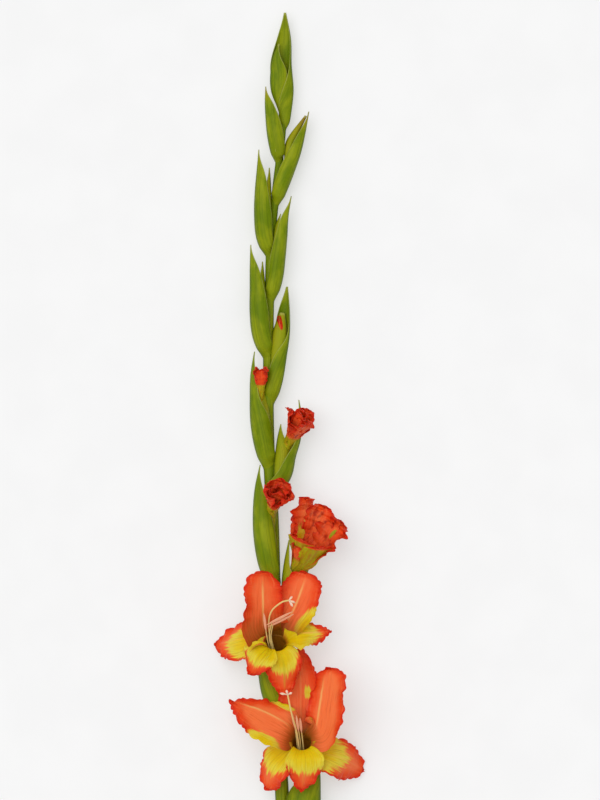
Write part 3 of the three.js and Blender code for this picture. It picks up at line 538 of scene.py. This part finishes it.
class Nodes:
    """Short names for the shader nodes that the materials below use."""

    def __init__(self, name):
        self.material = bpy.data.materials.new(name)
        self.material.use_nodes = True
        self.tree = self.material.node_tree
        self.shader = self.tree.nodes["Principled BSDF"]

    def put(self, socket, value):
        if isinstance(value, bpy.types.NodeSocket):
            self.tree.links.new(value, socket)
        else:
            socket.default_value = value

    def mark(self, name):
        node = self.tree.nodes.new("ShaderNodeAttribute")
        node.attribute_name = name
        return node.outputs["Fac"]

    def math(self, operation, *values):
        node = self.tree.nodes.new("ShaderNodeMath")
        node.operation = operation
        for socket, value in zip(node.inputs, values):
            self.put(socket, value)
        return node.outputs[0]

    def plus(self, first, second):
        return self.math("ADD", first, second)

    def times(self, first, second):
        return self.math("MULTIPLY", first, second)

    def scaled(self, value, factor, offset=0.0):
        return self.math("MULTIPLY_ADD", value, factor, offset)

    def step(self, value, low, high, most=1.0):
        """A smooth step from nought at low up to most at high."""
        node = self.tree.nodes.new("ShaderNodeMapRange")
        node.interpolation_type = "SMOOTHSTEP"
        for socket, number in zip(node.inputs, (value, low, high, 0.0, most)):
            self.put(socket, number)
        return node.outputs[0]

    def mix(self, factor, first, second):
        """A blend of two colours. This node's colour sockets come after its number and vector ones."""
        node = self.tree.nodes.new("ShaderNodeMix")
        node.data_type = "RGBA"
        for place, value in ((0, factor), (6, first), (7, second)):
            self.put(node.inputs[place], value)
        return node.outputs[2]

    def noise(self, place, scale, detail, roughness):
        node = self.tree.nodes.new("ShaderNodeTexNoise")
        values = {"Vector": place, "Scale": scale, "Detail": detail, "Roughness": roughness}
        for name, value in values.items():
            self.put(node.inputs[name], value)
        return node.outputs["Fac"]

    def grain(self, scale):
        """Noise in space, with scale spots to the millimetre."""
        place = self.tree.nodes.new("ShaderNodeTexCoord").outputs["Object"]
        return self.noise(place, scale / MM, 2.0, 0.5)

    def strands(self, across, fine, length, coarse, seed, detail=2.0, roughness=0.5):
        """Noise drawn out along a sheet, with fine spots to the millimetre across and coarse along it."""
        node = self.tree.nodes.new("ShaderNodeCombineXYZ")
        for socket, value in zip(node.inputs, (self.scaled(across, fine), self.scaled(length, coarse), seed)):
            self.put(socket, value)
        return self.noise(node.outputs[0], 1.0, detail, roughness)

    def bump(self, height, millimetres):
        node = self.tree.nodes.new("ShaderNodeBump")
        node.inputs["Strength"].default_value = 1.0
        node.inputs["Distance"].default_value = millimetres * MM
        self.put(node.inputs["Height"], height)
        self.put(self.shader.inputs["Normal"], node.outputs[0])

    def finish(self, base, roughness, subsurface=0.0, reach=(1, 1, 1), specular=0.4):
        self.put(self.shader.inputs["Base Color"], base)
        self.put(self.shader.inputs["Roughness"], roughness)
        self.shader.inputs["Subsurface Weight"].default_value = subsurface
        self.shader.inputs["Subsurface Radius"].default_value = reach
        self.shader.inputs["Subsurface Scale"].default_value = MM
        self.shader.inputs["Specular IOR Level"].default_value = specular
        return self.material


def tepal_material():
    n = Nodes("tepal")
    fan, length, rim, edge, seed = (n.mark(name) for name in ("fan", "length", "rim", "edge", "seed"))
    ruddy, rib, shade = n.mark("ruddy"), n.mark("rib"), n.mark("shade")
    streak = n.strands(fan, 0.75, length, 0.06, seed, 3.0, 0.6)
    vein = n.strands(fan, 2.2, length, 0.05, seed)
    cloud = n.strands(fan, 0.11, length, 0.07, seed)
    pleat = n.strands(edge, 0.55, rim, 0.07, seed)
    crumple = n.strands(fan, 0.3, length, 0.16, seed)
    crumpled = n.step(ruddy, 0.56, 0.66)
    swing = n.scaled(streak, 1.0, -0.5)

    # A salmon heart that runs out into an orange and scarlet rim, with scarlet pleats near the rim, darker
    # streaks, and crimson painted shade in the crumples of the reddest tepals
    inward = n.plus(n.scaled(swing, 7.0, rim), n.scaled(cloud, 6.0, -3.0))
    heart = n.times(n.step(inward, 4.0, 11.0), n.scaled(ruddy, -0.8, 1.0))
    red = n.mix(n.step(n.plus(rim, n.scaled(pleat, 3.0, -1.5)), 0.2, 4.2), SCARLET, ORANGE)
    red = n.mix(heart, red, SALMON)
    dark = n.plus(ruddy, n.scaled(cloud, 0.9, -0.45))
    red = n.mix(n.step(dark, 0.62, 1.05, 0.6), red, CRIMSON)
    # Painted shadow: crimson in the crumples of the reddest tepals, where their creases lie in shade
    red = n.mix(n.times(crumpled, n.step(crumple, 0.5, 0.72, 0.8)), red, CRIMSON)
    red = n.mix(n.times(n.step(pleat, 0.5, 0.7), n.step(rim, 9.0, 1.0, 0.35)), red, SCARLET)
    red = n.mix(n.step(streak, 0.52, 0.72, 0.3), red, EMBER)
    red = n.mix(n.step(streak, 0.46, 0.3, 0.35), red, BLUSH)

    # Patches of yellow with feathered ends, greenish on the reddest tepals
    level = n.scaled(swing, 0.9, n.mark("yellow"))
    gold = n.mix(n.step(level, 0.5, 0.95), PALE_YELLOW, YELLOW)
    gold = n.mix(n.step(vein, 0.5, 0.7, 0.35), gold, LEAF_GOLD)
    gold = n.mix(n.step(ruddy, 0.76, 0.8), gold, LEAF_LIGHT)
    face = n.mix(n.step(level, 0.28, 0.5), red, gold)

    # The inside has a pale or green midrib, fine veins and a brown throat, partly its own colour and
    # partly painted shade of the throat's depth
    narrow = n.math("POWER", n.math("DIVIDE", n.mark("across"), 0.8), 2.0)
    line = n.math("EXPONENT", n.scaled(narrow, -1.0))
    inner = n.mix(n.times(line, n.math("MAXIMUM", rib, 0.0)), face, PEACH)
    inner = n.mix(n.times(line, n.scaled(n.math("MINIMUM", rib, 0.0), -0.5)), inner, UNDER_GREEN)
    inner = n.mix(n.step(vein, 0.5, 0.72, 0.12), inner, SCARLET)
    brown = n.plus(shade, n.times(swing, n.step(shade, 0.0, 0.3, 0.5)))
    inner = n.mix(n.step(brown, 0.1, 0.6, 0.8), inner, BRONZE)
    inner = n.mix(n.step(brown, 0.5, 1.0, 0.95), inner, OLIVE)

    # The outside is green and bronze at the root, but not on the rim
    green = n.scaled(swing, 0.6, n.mark("green"))
    root = n.mix(n.step(streak, 0.44, 0.6, 0.6), UNDER_GREEN, UNDER_BRONZE)
    outer = n.mix(n.times(n.step(green, 0.35, 0.7), n.step(rim, 0.6, 2.6)), face, root)
    base = n.mix(n.mark("outside"), inner, outer)

    height = n.scaled(vein, 0.6, n.scaled(streak, 0.5))
    height = n.plus(height, n.times(pleat, n.step(rim, 10.0, 1.0, 2.4)))
    height = n.plus(height, n.times(crumpled, n.scaled(crumple, -4.0)))
    n.bump(n.scaled(n.grain(1.6), 0.25, height), 0.34)
    return n.finish(base, n.scaled(n.grain(0.5), 0.2, 0.42), 0.2, (2.4, 0.9, 0.4), 0.15)


def leaf_material(name, body, dark, light):
    n = Nodes(name)
    across, length, rim, seed = (n.mark(mark) for mark in ("across", "length", "rim", "seed"))
    fibre = n.strands(across, 1.7, length, 0.035, seed, 3.0, 0.6)
    vein = n.strands(across, 0.75, length, 0.012, seed)
    cloud = n.strands(across, 0.1, length, 0.045, seed, 3.0)
    frayed = n.scaled(fibre, 0.7, -0.35)
    base = n.mix(n.step(cloud, 0.35, 0.68), body, light)
    base = n.mix(n.step(vein, 0.48, 0.62, 0.28), base, dark)
    base = n.mix(n.step(fibre, 0.5, 0.66, 0.22), base, dark)
    base = n.mix(n.step(fibre, 0.46, 0.3, 0.25), base, light)
    base = n.mix(n.scaled(n.mark("pale"), 0.6), base, LEAF_LIGHT)
    # Painted shade: the flanks, turned away from the light, are darkened
    base = n.mix(n.scaled(n.mark("flank"), 0.75), base, LEAF_DARK)

    # The tip dries from gold to brown, and the margin is a thin pale line
    dry = n.plus(n.mark("brown"), frayed)
    base = n.mix(n.step(dry, 0.15, 0.75, 0.8), base, LEAF_GOLD)
    base = n.mix(n.step(dry, 0.62, 1.05, 0.9), base, BROWN)
    base = n.mix(n.step(n.plus(rim, frayed), 0.7, 0.2, 0.55), base, MARGIN)

    height = n.scaled(fibre, 0.6, vein)
    n.bump(n.scaled(n.grain(1.4), 0.25, height), 0.22)
    return n.finish(base, n.scaled(n.grain(0.4), 0.22, 0.36), 0.12, (0.9, 1.2, 0.3), 0.1)


def stem_material():
    n = Nodes("stem")
    across, length = n.mark("across"), n.mark("length")
    fibre = n.strands(across, 1.4, length, 0.02, 3.0, 3.0, 0.6)
    cloud = n.strands(across, 0.08, length, 0.02, 7.0, 3.0)
    base = n.mix(n.step(cloud, 0.4, 0.7), LEAF, LEAF_LIGHT)
    base = n.mix(n.step(fibre, 0.48, 0.66, 0.4), base, LEAF_DARK)
    # Painted shade: the stem's left and right sides, turned away from the light, are darkened
    base = n.mix(n.scaled(n.mark("flank"), 0.75), base, LEAF_DARK)
    vessels = n.step(n.grain(1.3), 0.56, 0.64, 0.6)
    base = n.mix(n.mark("cut"), base, n.mix(vessels, PITH, UNDER_GREEN))
    n.bump(n.scaled(n.grain(1.2), 0.3, n.scaled(fibre, 0.8)), 0.2)
    return n.finish(base, n.scaled(n.grain(0.3), 0.2, 0.36), 0.12, (0.9, 1.2, 0.3), 0.1)


def filament_material(name, root, body, tip):
    n = Nodes(name)
    base = n.mix(n.step(n.mark("length"), 0.0, 0.45), root, body)
    base = n.mix(n.mark("head"), base, tip)
    base = n.mix(n.step(n.grain(2.2), 0.5, 0.66, 0.35), base, body)
    n.bump(n.grain(2.6), 0.12)
    return n.finish(base, n.scaled(n.grain(1.0), 0.2, 0.45), 0.2, (1.6, 0.9, 0.5), 0.35)


def floor_material():
    n = Nodes("floor")
    base = n.mix(n.step(n.grain(0.02), 0.3, 0.7), FLOOR, FLOOR_SHADE)
    # The floor glows faintly, though it is no lamp, which washes out the shadows that fall on it
    n.shader.inputs["Emission Color"].default_value = (1, 1, 1, 1)
    n.shader.inputs["Emission Strength"].default_value = FLOOR_GLOW
    return n.finish(base, 0.9, specular=0.1)


STEM_TABLE = np.array(STEM, float)


def stem_at(y):
    """The stem's centre x and z and its radius at y."""
    return [np.interp(y, STEM_TABLE[:, 1], STEM_TABLE[:, k]) for k in (0, 2, 3)]


def stem_body():
    u = np.linspace(0, 1, STEM_ROWS)
    line = spline(STEM_TABLE[:, :3], u)
    directions = tangents_of(STEM_TABLE[:, :3], u)
    radii = along(STEM_TABLE[:, 3], u)
    for spec in BRACTS:
        radii = radii + NODE_SWELL * np.exp(-((line[:, 1] - spec["foot"]) / NODE_REACH) ** 2)
    turns = ring_angles(STEM_SIDES)
    ribbed = radii[:, None] + RIB_HEIGHT * np.cos(STEM_RIBS * turns)[None] - RIB_HEIGHT
    skin = ring_grid(line, directions, ribbed, STEM_SIDES)
    cut = np.linspace(0, 1, CUT_RINGS + 2)[1:-1, None, None]
    hollow = CUT_HOLLOW * (1 - cut ** 2) * directions[0]
    face = line[0] + hollow + cut * (skin[0] - line[0])
    marks = {
        "across": np.minimum(turns, 2 * np.pi - turns)[None] * FIBRE_RADIUS,
        "length": np.concatenate([np.zeros(CUT_RINGS), travelled(line)])[:, None],
        "cut": np.concatenate([np.ones(CUT_RINGS), np.zeros(STEM_ROWS)])[:, None],
        # painted shade on the stem's left and right sides
        "flank": smoothstep(np.abs(np.cos(turns)), STEM_SHADED_FLANK, 1)[None],
    }
    return rings_body(np.concatenate([face, skin]), marks)


def bract_line(start, edge, radius, share, sign, lift):
    """The middle of a bract whose silhouette runs through the points of edge."""
    points = [start]
    for i, (x, y) in enumerate(edge):
        z = stem_at(y)[1] + lift * RISE[i + 1]
        points.append((x - sign * radius * share[i + 1], y, z))
    return np.array(points, float)


def bract_form(spec, is_inner):
    """A bract's middle line, its radii along that line, and where its back and front margins run."""
    x, z, stem_radius = stem_at(spec["foot"])
    side, lift, share = spec["side"], spec.get("lift", LIFT), spec.get("share", SHARE)
    line = bract_line((x, spec["foot"], z), spec["outer"], spec["r"], share, side, lift)
    front = FRONT[spec["shape"]]
    if is_inner:
        start = spline(line, np.array([INNER_START]))[0]
        share = spec.get("inner_share", INNER_SHARE)
        line = bract_line(start, spec["inner"], spec["inner_r"], share, -side, lift)
        return line, np.array(share) * spec["inner_r"], INNER_BACK, front["inner"]
    radii = np.array(share) * spec["r"]
    radii[0] = stem_radius + FOOT_EASE
    return line, radii, SPREAD_BACK if spec["shape"] in SPREAD_SHAPES else OUTER_BACK, front["outer"]


def bract_body(number, spec, is_inner):
    """A thin sheet wrapped round a bract's middle line. An outer one clasps the stem at its foot."""
    line, radii, backs, fronts = bract_form(spec, is_inner)
    rows, columns = BRACT_GRID
    u = np.linspace(0, 1, rows) ** FOOT_CROWDING
    v = np.linspace(-1, 1, columns)
    tangents = tangents_of(line, u)
    outwards = squared((spec["side"], 0, 0), tangents)[:, None]
    forwards = squared((0, 0, 1), tangents)[:, None]
    back, front = along(backs, u), along(fronts, u)
    angle = np.radians(back[:, None] + (front - back)[:, None] * (v[None] + 1) / 2)
    radius = along(radii, u)[:, None]
    clasp = 0 if is_inner else 1 - smoothstep(u, 0, FOOT_REACH)[:, None]
    curl = MARGIN_CURL * np.abs(v[None]) ** MARGIN_ROUNDING
    radius = radius + (stem_at(spec["foot"])[2] + FOOT_GAP - radius) * clasp + curl
    flat = spec.get("flat", 1)
    points = spline(line, u)[:, None] + (radius * np.cos(angle))[..., None] * outwards
    points = points + (flat * radius * np.sin(angle))[..., None] * forwards
    points = points - (FOOT_SLANT * clasp * np.cos(angle))[..., None] * tangents[:, None]
    length = travelled(spline(line, u))
    arc = radius * np.radians(np.abs(front - back))[:, None] / 2
    to_tip = (length[-1] - length)[:, None] * TIP_MARGIN
    marks = {
        "across": arc * v[None],
        "length": length[:, None],
        "rim": np.minimum(arc * (1 - np.abs(v[None])), to_tip),
        "seed": float(number) * BRACT_SEED + INNER_SEED * is_inner,
        "brown": spec["brown"] * smoothstep(u, BROWN_FROM, 1)[:, None] - 0.1,
        "pale": (1 - smoothstep(length, 0, PALE_REACH))[:, None],
        # painted shade on the flanks that turn away from the light
        "flank": 1 - smoothstep(np.abs(np.sin(angle)), *SHADED_FLANK),
    }
    thick = MARGIN_THICK + (BRACT_THICK - MARGIN_THICK) * (1 - np.abs(v[None]) ** 6) * (1 - 0.9 * clasp)
    return sheet(points, thick, marks)


def outward(axis, turn):
    """A direction round a bloom's axis: turn 0 lies to the right, 90 up the stem."""
    up = squared((0, 1, 0), axis[None])[0]
    right = np.cross(up, axis)
    return math.cos(math.radians(turn)) * right + math.sin(math.radians(turn)) * up


def yellow_level(patches, u, v):
    level = np.zeros((len(u), len(v)))
    for middle, beside, reach, breadth, strength in patches:
        far = np.hypot((u[:, None] - middle) / reach, (v[None] - beside) / breadth)
        level = np.maximum(level, strength * (YELLOW_PEAK - far))
    return np.clip(level, 0, YELLOW_MOST)


def margin_turns(line, lateral, half, v, pitch, random):
    """How many uneven steps of pitch each point of the margins lies from the tip, for both sides."""
    sides = []
    for sign in (-1, 1):
        edge = travelled(line + sign * lateral * half[:, None])
        steps = (edge[-1] - edge) / pitch
        start = 6 * random.random()
        sides.append(steps + UNEVENNESS * (np.sin(UNEVEN_PITCH * steps + start) - np.sin(start)))
    return np.where(v[None] > 0, sides[1][:, None], sides[0][:, None]) + random.random()


def tepal_body(flower, tepal, grid, seed):
    """A ruffled tepal: a spine from inside the tube's rim, with a width, a cup and waved edges."""
    tepal = {**USUAL_TEPAL, "frill": flower.get("frill", 1), **tepal}
    random = np.random.default_rng(seed)
    axis = unit(flower["facing"])
    mouth = flower["mouth"]
    out = outward(axis, tepal["turn"])
    start = flower["radius"] + WHORL_STEP * tepal["whorl"]
    rim_point = mouth + out * start
    inside = mouth + out * ROOT_SHARE * start - axis * ROOT_DEPTH
    spine = np.array([inside, rim_point, *np.add(mouth, tepal["points"])])

    rows, columns = grid
    u = 1 - (1 - np.linspace(0, 1, rows)) ** TIP_CROWDING
    v = np.linspace(-1, 1, columns)
    tangents = tangents_of(spine, u)
    lateral = squared(np.cross(axis, out), tangents)
    normal = np.cross(tangents, lateral)
    line = spline(spine, u)
    length = travelled(line)
    widths = along(tepal["width"], u)
    half = widths * np.sqrt(1 - TIP_ROUNDING * u ** tepal["blunt"])
    slope = np.gradient(half, np.maximum(length, np.arange(rows) * 1e-6))
    lean = 1 / np.hypot(1, slope)
    angle = np.radians(along(tepal["cup"], u))
    angle = np.where(np.abs(angle) < 1e-4, 1e-4, angle)[:, None]
    limb = smoothstep(u, *LIMB)[:, None]
    strength = np.abs(v)[None]
    rim = (1 - strength) * (half * lean)[:, None]

    # Long waves, short frills near the margin and a raised midrib
    lag = np.where(v > 0, SIDE_LAG, 0)[None]
    wave_phase = 2 * np.pi * tepal["waves"] * u[:, None] + tepal["phase"] + lag
    lift = tepal["wave"] * limb * strength ** 3 * np.sin(wave_phase)
    size = widths.max() / FULL_SIZE
    reach = np.exp(-rim / (FRILL_REACH * size * tepal["frill"]))
    for pitch, height in FRILLS:
        turns = margin_turns(line, lateral, half, v, pitch * size, random)
        lift = lift + size * tepal["frill"] * height * limb * reach * np.sin(np.pi * turns)
    across = half[:, None] * (v[None] - tepal["rib_at"])
    lift = lift + RIB_LIFT * limb * np.exp(-(across / RIB_WIDTH) ** 2)

    # A cupped section, with a scalloped outline
    bend = angle * v[None]
    points = line[:, None]
    points = points + (half[:, None] * np.sin(bend) / angle)[..., None] * lateral[:, None]
    points = points + (half[:, None] * (1 - np.cos(bend)) / angle + lift)[..., None] * normal[:, None]
    turns = margin_turns(line, lateral, half, v, SCALLOP_LENGTH * size, random)
    scallop = np.abs(np.sin(np.pi * turns)) ** SCALLOP_SHARPNESS - SCALLOP_LEVEL
    scallop = size * SCALLOP_HEIGHT * scallop * limb * np.exp(-rim / (SCALLOP_REACH * size))
    points = points + (scallop * np.sign(v)[None] * lean[:, None])[..., None] * lateral[:, None]
    points = points - (scallop * (slope * lean)[:, None])[..., None] * tangents[:, None]

    marks = {
        "across": across,
        "fan": widths.max() * v[None] * (1 - VEIN_SPREAD * u[:, None] ** 2),
        "length": length[:, None],
        "rim": rim + PLAIN_ROOT * (1 - smoothstep(u, *tepal["plain"]))[:, None],
        "edge": turns * SCALLOP_LENGTH * size,
        "seed": float(seed) * TEPAL_SEED,
        "yellow": yellow_level(tepal["yellow"], u, v),
        "ruddy": tepal["ruddy"],
        "rib": tepal["rib"] * (limb * (1 - smoothstep(u, *RIB_END)[:, None])),
        # the throat's brown, partly painted shade, fading out along the tepal
        "shade": (1 - smoothstep(u, SHADE_START, tepal["shade"]))[:, None],
        "green": 1 - smoothstep(u, *tepal["green"])[:, None],
    }
    thick = RIM_THICK + (TEPAL_THICK - RIM_THICK) * (1 - strength ** 6)
    return sheet(points, thick, marks)


def tube_body(flower):
    """The bent funnel below the tepals, hollow from its mouth down to the throat's floor."""
    axis = unit(flower["facing"])
    end, start = (np.array(flower[key], float) for key in ("mouth", "foot"))
    bend = end - axis * TUBE_BEND * np.linalg.norm(end - start)
    outer = np.linspace(0, TUBE_END, TUBE_ROWS_OUTSIDE)
    inner = np.linspace(TUBE_END, THROAT_FLOOR, TUBE_ROWS_INSIDE)
    u = np.concatenate([outer, inner])[:, None]
    outside = np.concatenate([np.ones(TUBE_ROWS_OUTSIDE), np.zeros(TUBE_ROWS_INSIDE)])
    line = (1 - u) ** 2 * start + 2 * u * (1 - u) * bend + u ** 2 * end
    directions = unit(2 * (1 - u) * (bend - start) + 2 * u * (end - bend))
    wall = flower["foot_radius"] + (flower["radius"] - flower["foot_radius"]) * u[:, 0] ** TUBE_FLARE
    rings = ring_grid(line, directions, wall + TUBE_WALL * (outside - 0.5), TUBE_SIDES)
    up, down = travelled(line[:TUBE_ROWS_OUTSIDE]), travelled(line[TUBE_ROWS_OUTSIDE:])
    turns = ring_angles(TUBE_SIDES)
    marks = {
        "across": FAR_OFF,
        "fan": np.minimum(turns, 2 * np.pi - turns)[None] * flower["radius"],
        "length": np.concatenate([up, up[-1] - down])[:, None],
        "rim": FAR_OFF,
        "ruddy": 0.5,
        "green": 1.0,
        # inside, the tube takes the throat's full brown, partly painted shade of its depth
        "shade": (1 - outside)[:, None],
        "outside": outside[:, None],
    }
    return rings_body(rings, marks)


def bud_tepals(flower):
    """Three outer tepals and, in the fuller buds, three narrower ones inside them."""
    axis = unit(flower["facing"])
    made = []
    for whorl, key, narrow, offset in ((1, "outer", 1, 0), (-1, "inner", BUD_INNER_WIDTH, 60)):
        if key not in flower:
            continue
        for step in (0, 120, 240):
            turn = flower["turn"] + step + offset
            out = outward(axis, turn)
            points = [tuple(out * distance + axis * height) for distance, height in flower[key]]
            made.append({
                "turn": turn, "whorl": whorl, "points": points,
                "width": tuple(w * narrow for w in flower["width"]),
                "cup": flower["cup"], "waves": flower["waves"], "wave": flower["wave"],
                "phase": turn, "yellow": [(0.2, 0, 0.25, 1, 0.7)], "ruddy": 0.7,
                "green": flower.get("green", BUD_GREEN),
            })
    return made


def bloom_bodies(flower, tepals, grid, seed):
    bodies = [tepal_body(flower, tepal, grid, seed + i) for i, tepal in enumerate(tepals)]
    return [*bodies, tube_body(flower)]


def rod(points, radii, grid, head=0.0, grooves=0.0):
    """A slender tapering body. grooves pinches its section into lobes."""
    rows, sides = grid
    u = np.linspace(0, 1, rows)
    shape = 1 - grooves * (0.5 - 0.5 * np.cos(2 * ring_angles(sides))) ** 3
    radii = along(radii, u)[:, None] * shape[None]
    rings = ring_grid(spline(points, u), tangents_of(points, u), radii, sides)
    return rings_body(rings, {"length": u[:, None], "head": head})


def stamen_bodies(mouth, thread, tip):
    line = np.add(mouth, thread)
    tip = np.add(mouth, tip)
    heel = line[-1] + (line[-1] - tip) * ANTHER_HEEL
    middle = line[-1] + (tip - line[-1]) * ANTHER_MIDDLE
    anther = spline([heel, middle, tip], np.linspace(0, 1, len(ANTHER_TAPER)))
    anther_radii = ANTHER_R * np.array(ANTHER_TAPER)
    return [
        rod(line, FILAMENT_R * np.array(FILAMENT_TAPER), FILAMENT_GRID),
        rod(anther, anther_radii, ANTHER_GRID, head=1.0, grooves=ANTHER_GROOVES),
    ]


def style_bodies(mouth, spec):
    line = np.add(mouth, spec["style"])
    bodies = [rod(line, [STYLE_R] * len(line), STYLE_GRID)]
    radii = [0.8 * STYLE_R, 0.9 * STYLE_R, STIGMA_R, 1.1 * STIGMA_R, 0.3 * STIGMA_R]
    for lobe in spec["lobes"]:
        end = np.add(mouth, lobe)
        middle = (line[-1] + end) / 2 + np.array([0, 0, STIGMA_ARCH])
        path = spline([line[-1], middle, end], np.linspace(0, 1, len(radii)))
        bodies.append(rod(path, radii, STIGMA_GRID, head=1.0, grooves=STIGMA_GROOVES))
    return bodies


def dress_stem():
    make_piece("stem_skin", [stem_body()], stem_material(), ["stem"])


def dress_bracts():
    outer = leaf_material("bract", LEAF, LEAF_DARK, LEAF_LIGHT)
    inner = leaf_material("inner_bract", LEAF_GOLD, LEAF, LEAF_LIGHT)
    for number, spec in enumerate(BRACTS, 1):
        node = f"bract_outer_{number:02d}"
        make_piece(node + "_leaf", [bract_body(number, spec, False)], outer, [node])
        if "inner" in spec:
            node = f"bract_inner_{number:02d}"
            material = outer if spec["shape"] == "last" else inner
            make_piece(node + "_leaf", [bract_body(number, spec, True)], material, [node])


def dress_blooms():
    material = tepal_material()
    for number, (node, flower) in enumerate(BLOOMS.items(), 1):
        bodies = bloom_bodies(flower, flower["tepals"], TEPAL_GRID, 10 * number)
        make_piece(node + "_tepals", bodies, material, [node])
    for number, (node, flower) in enumerate(BUDS.items(), 4):
        bodies = bloom_bodies(flower, bud_tepals(flower), BUD_GRID, 10 * number)
        make_piece(node + "_tepals", bodies, material, [node])


def dress_stamens():
    stamen_finish = filament_material("stamen", UNDER_GREEN, CREAM, ANTHER_PINK)
    style_finish = filament_material("style", CREAM, CREAM, STIGMA_PINK)
    for flower, spec in FILAMENTS.items():
        mouth = BLOOMS[flower]["mouth"]
        number = flower[-1]
        for letter, (thread, tip) in zip("abc", spec["stamens"]):
            node = f"stamen_{number}_{letter}"
            make_piece(node + "_skin", stamen_bodies(mouth, thread, tip), stamen_finish, [node])
        node = f"style_{number}"
        make_piece(node + "_skin", style_bodies(mouth, spec), style_finish, [node])


def make_floor():
    bpy.ops.mesh.primitive_plane_add(size=FLOOR_SIZE, location=(0, 0, -FLOOR_DROP))
    floor = bpy.context.object
    floor.name = "floor"
    floor.data.materials.append(floor_material())


def make_light():
    world = bpy.data.worlds.new("studio")
    world.use_nodes = True
    world.node_tree.nodes["Background"].inputs["Color"].default_value = (1, 1, 1, 1)
    world.node_tree.nodes["Background"].inputs["Strength"].default_value = SKY
    bpy.context.scene.world = world
    for name, (energy, angle, *tilt) in LAMPS.items():
        light = bpy.data.lights.new(name, "SUN")
        light.energy = energy
        light.angle = math.radians(angle)
        lamp = bpy.data.objects.new(name, light)
        lamp.rotation_euler = (math.radians(tilt[0]), math.radians(tilt[1]), 0)
        bpy.context.scene.collection.objects.link(lamp)


def make_camera():
    camera = bpy.data.cameras.new("camera")
    camera.sensor_width = SENSOR
    camera.lens = SENSOR * CAMERA_HEIGHT / (PHOTO_HEIGHT * MM_PER_PIXEL * MM)
    camera.clip_end = 100
    holder = bpy.data.objects.new("camera", camera)
    holder.location = (PHOTO_CENTRE[0] * MM, PHOTO_CENTRE[1] * MM, CAMERA_HEIGHT)
    bpy.context.scene.collection.objects.link(holder)
    bpy.context.scene.camera = holder
    bpy.context.scene.view_settings.view_transform = "Standard"


make_camera()
dress_stem()
dress_bracts()
dress_blooms()
dress_stamens()
make_floor()
make_light()
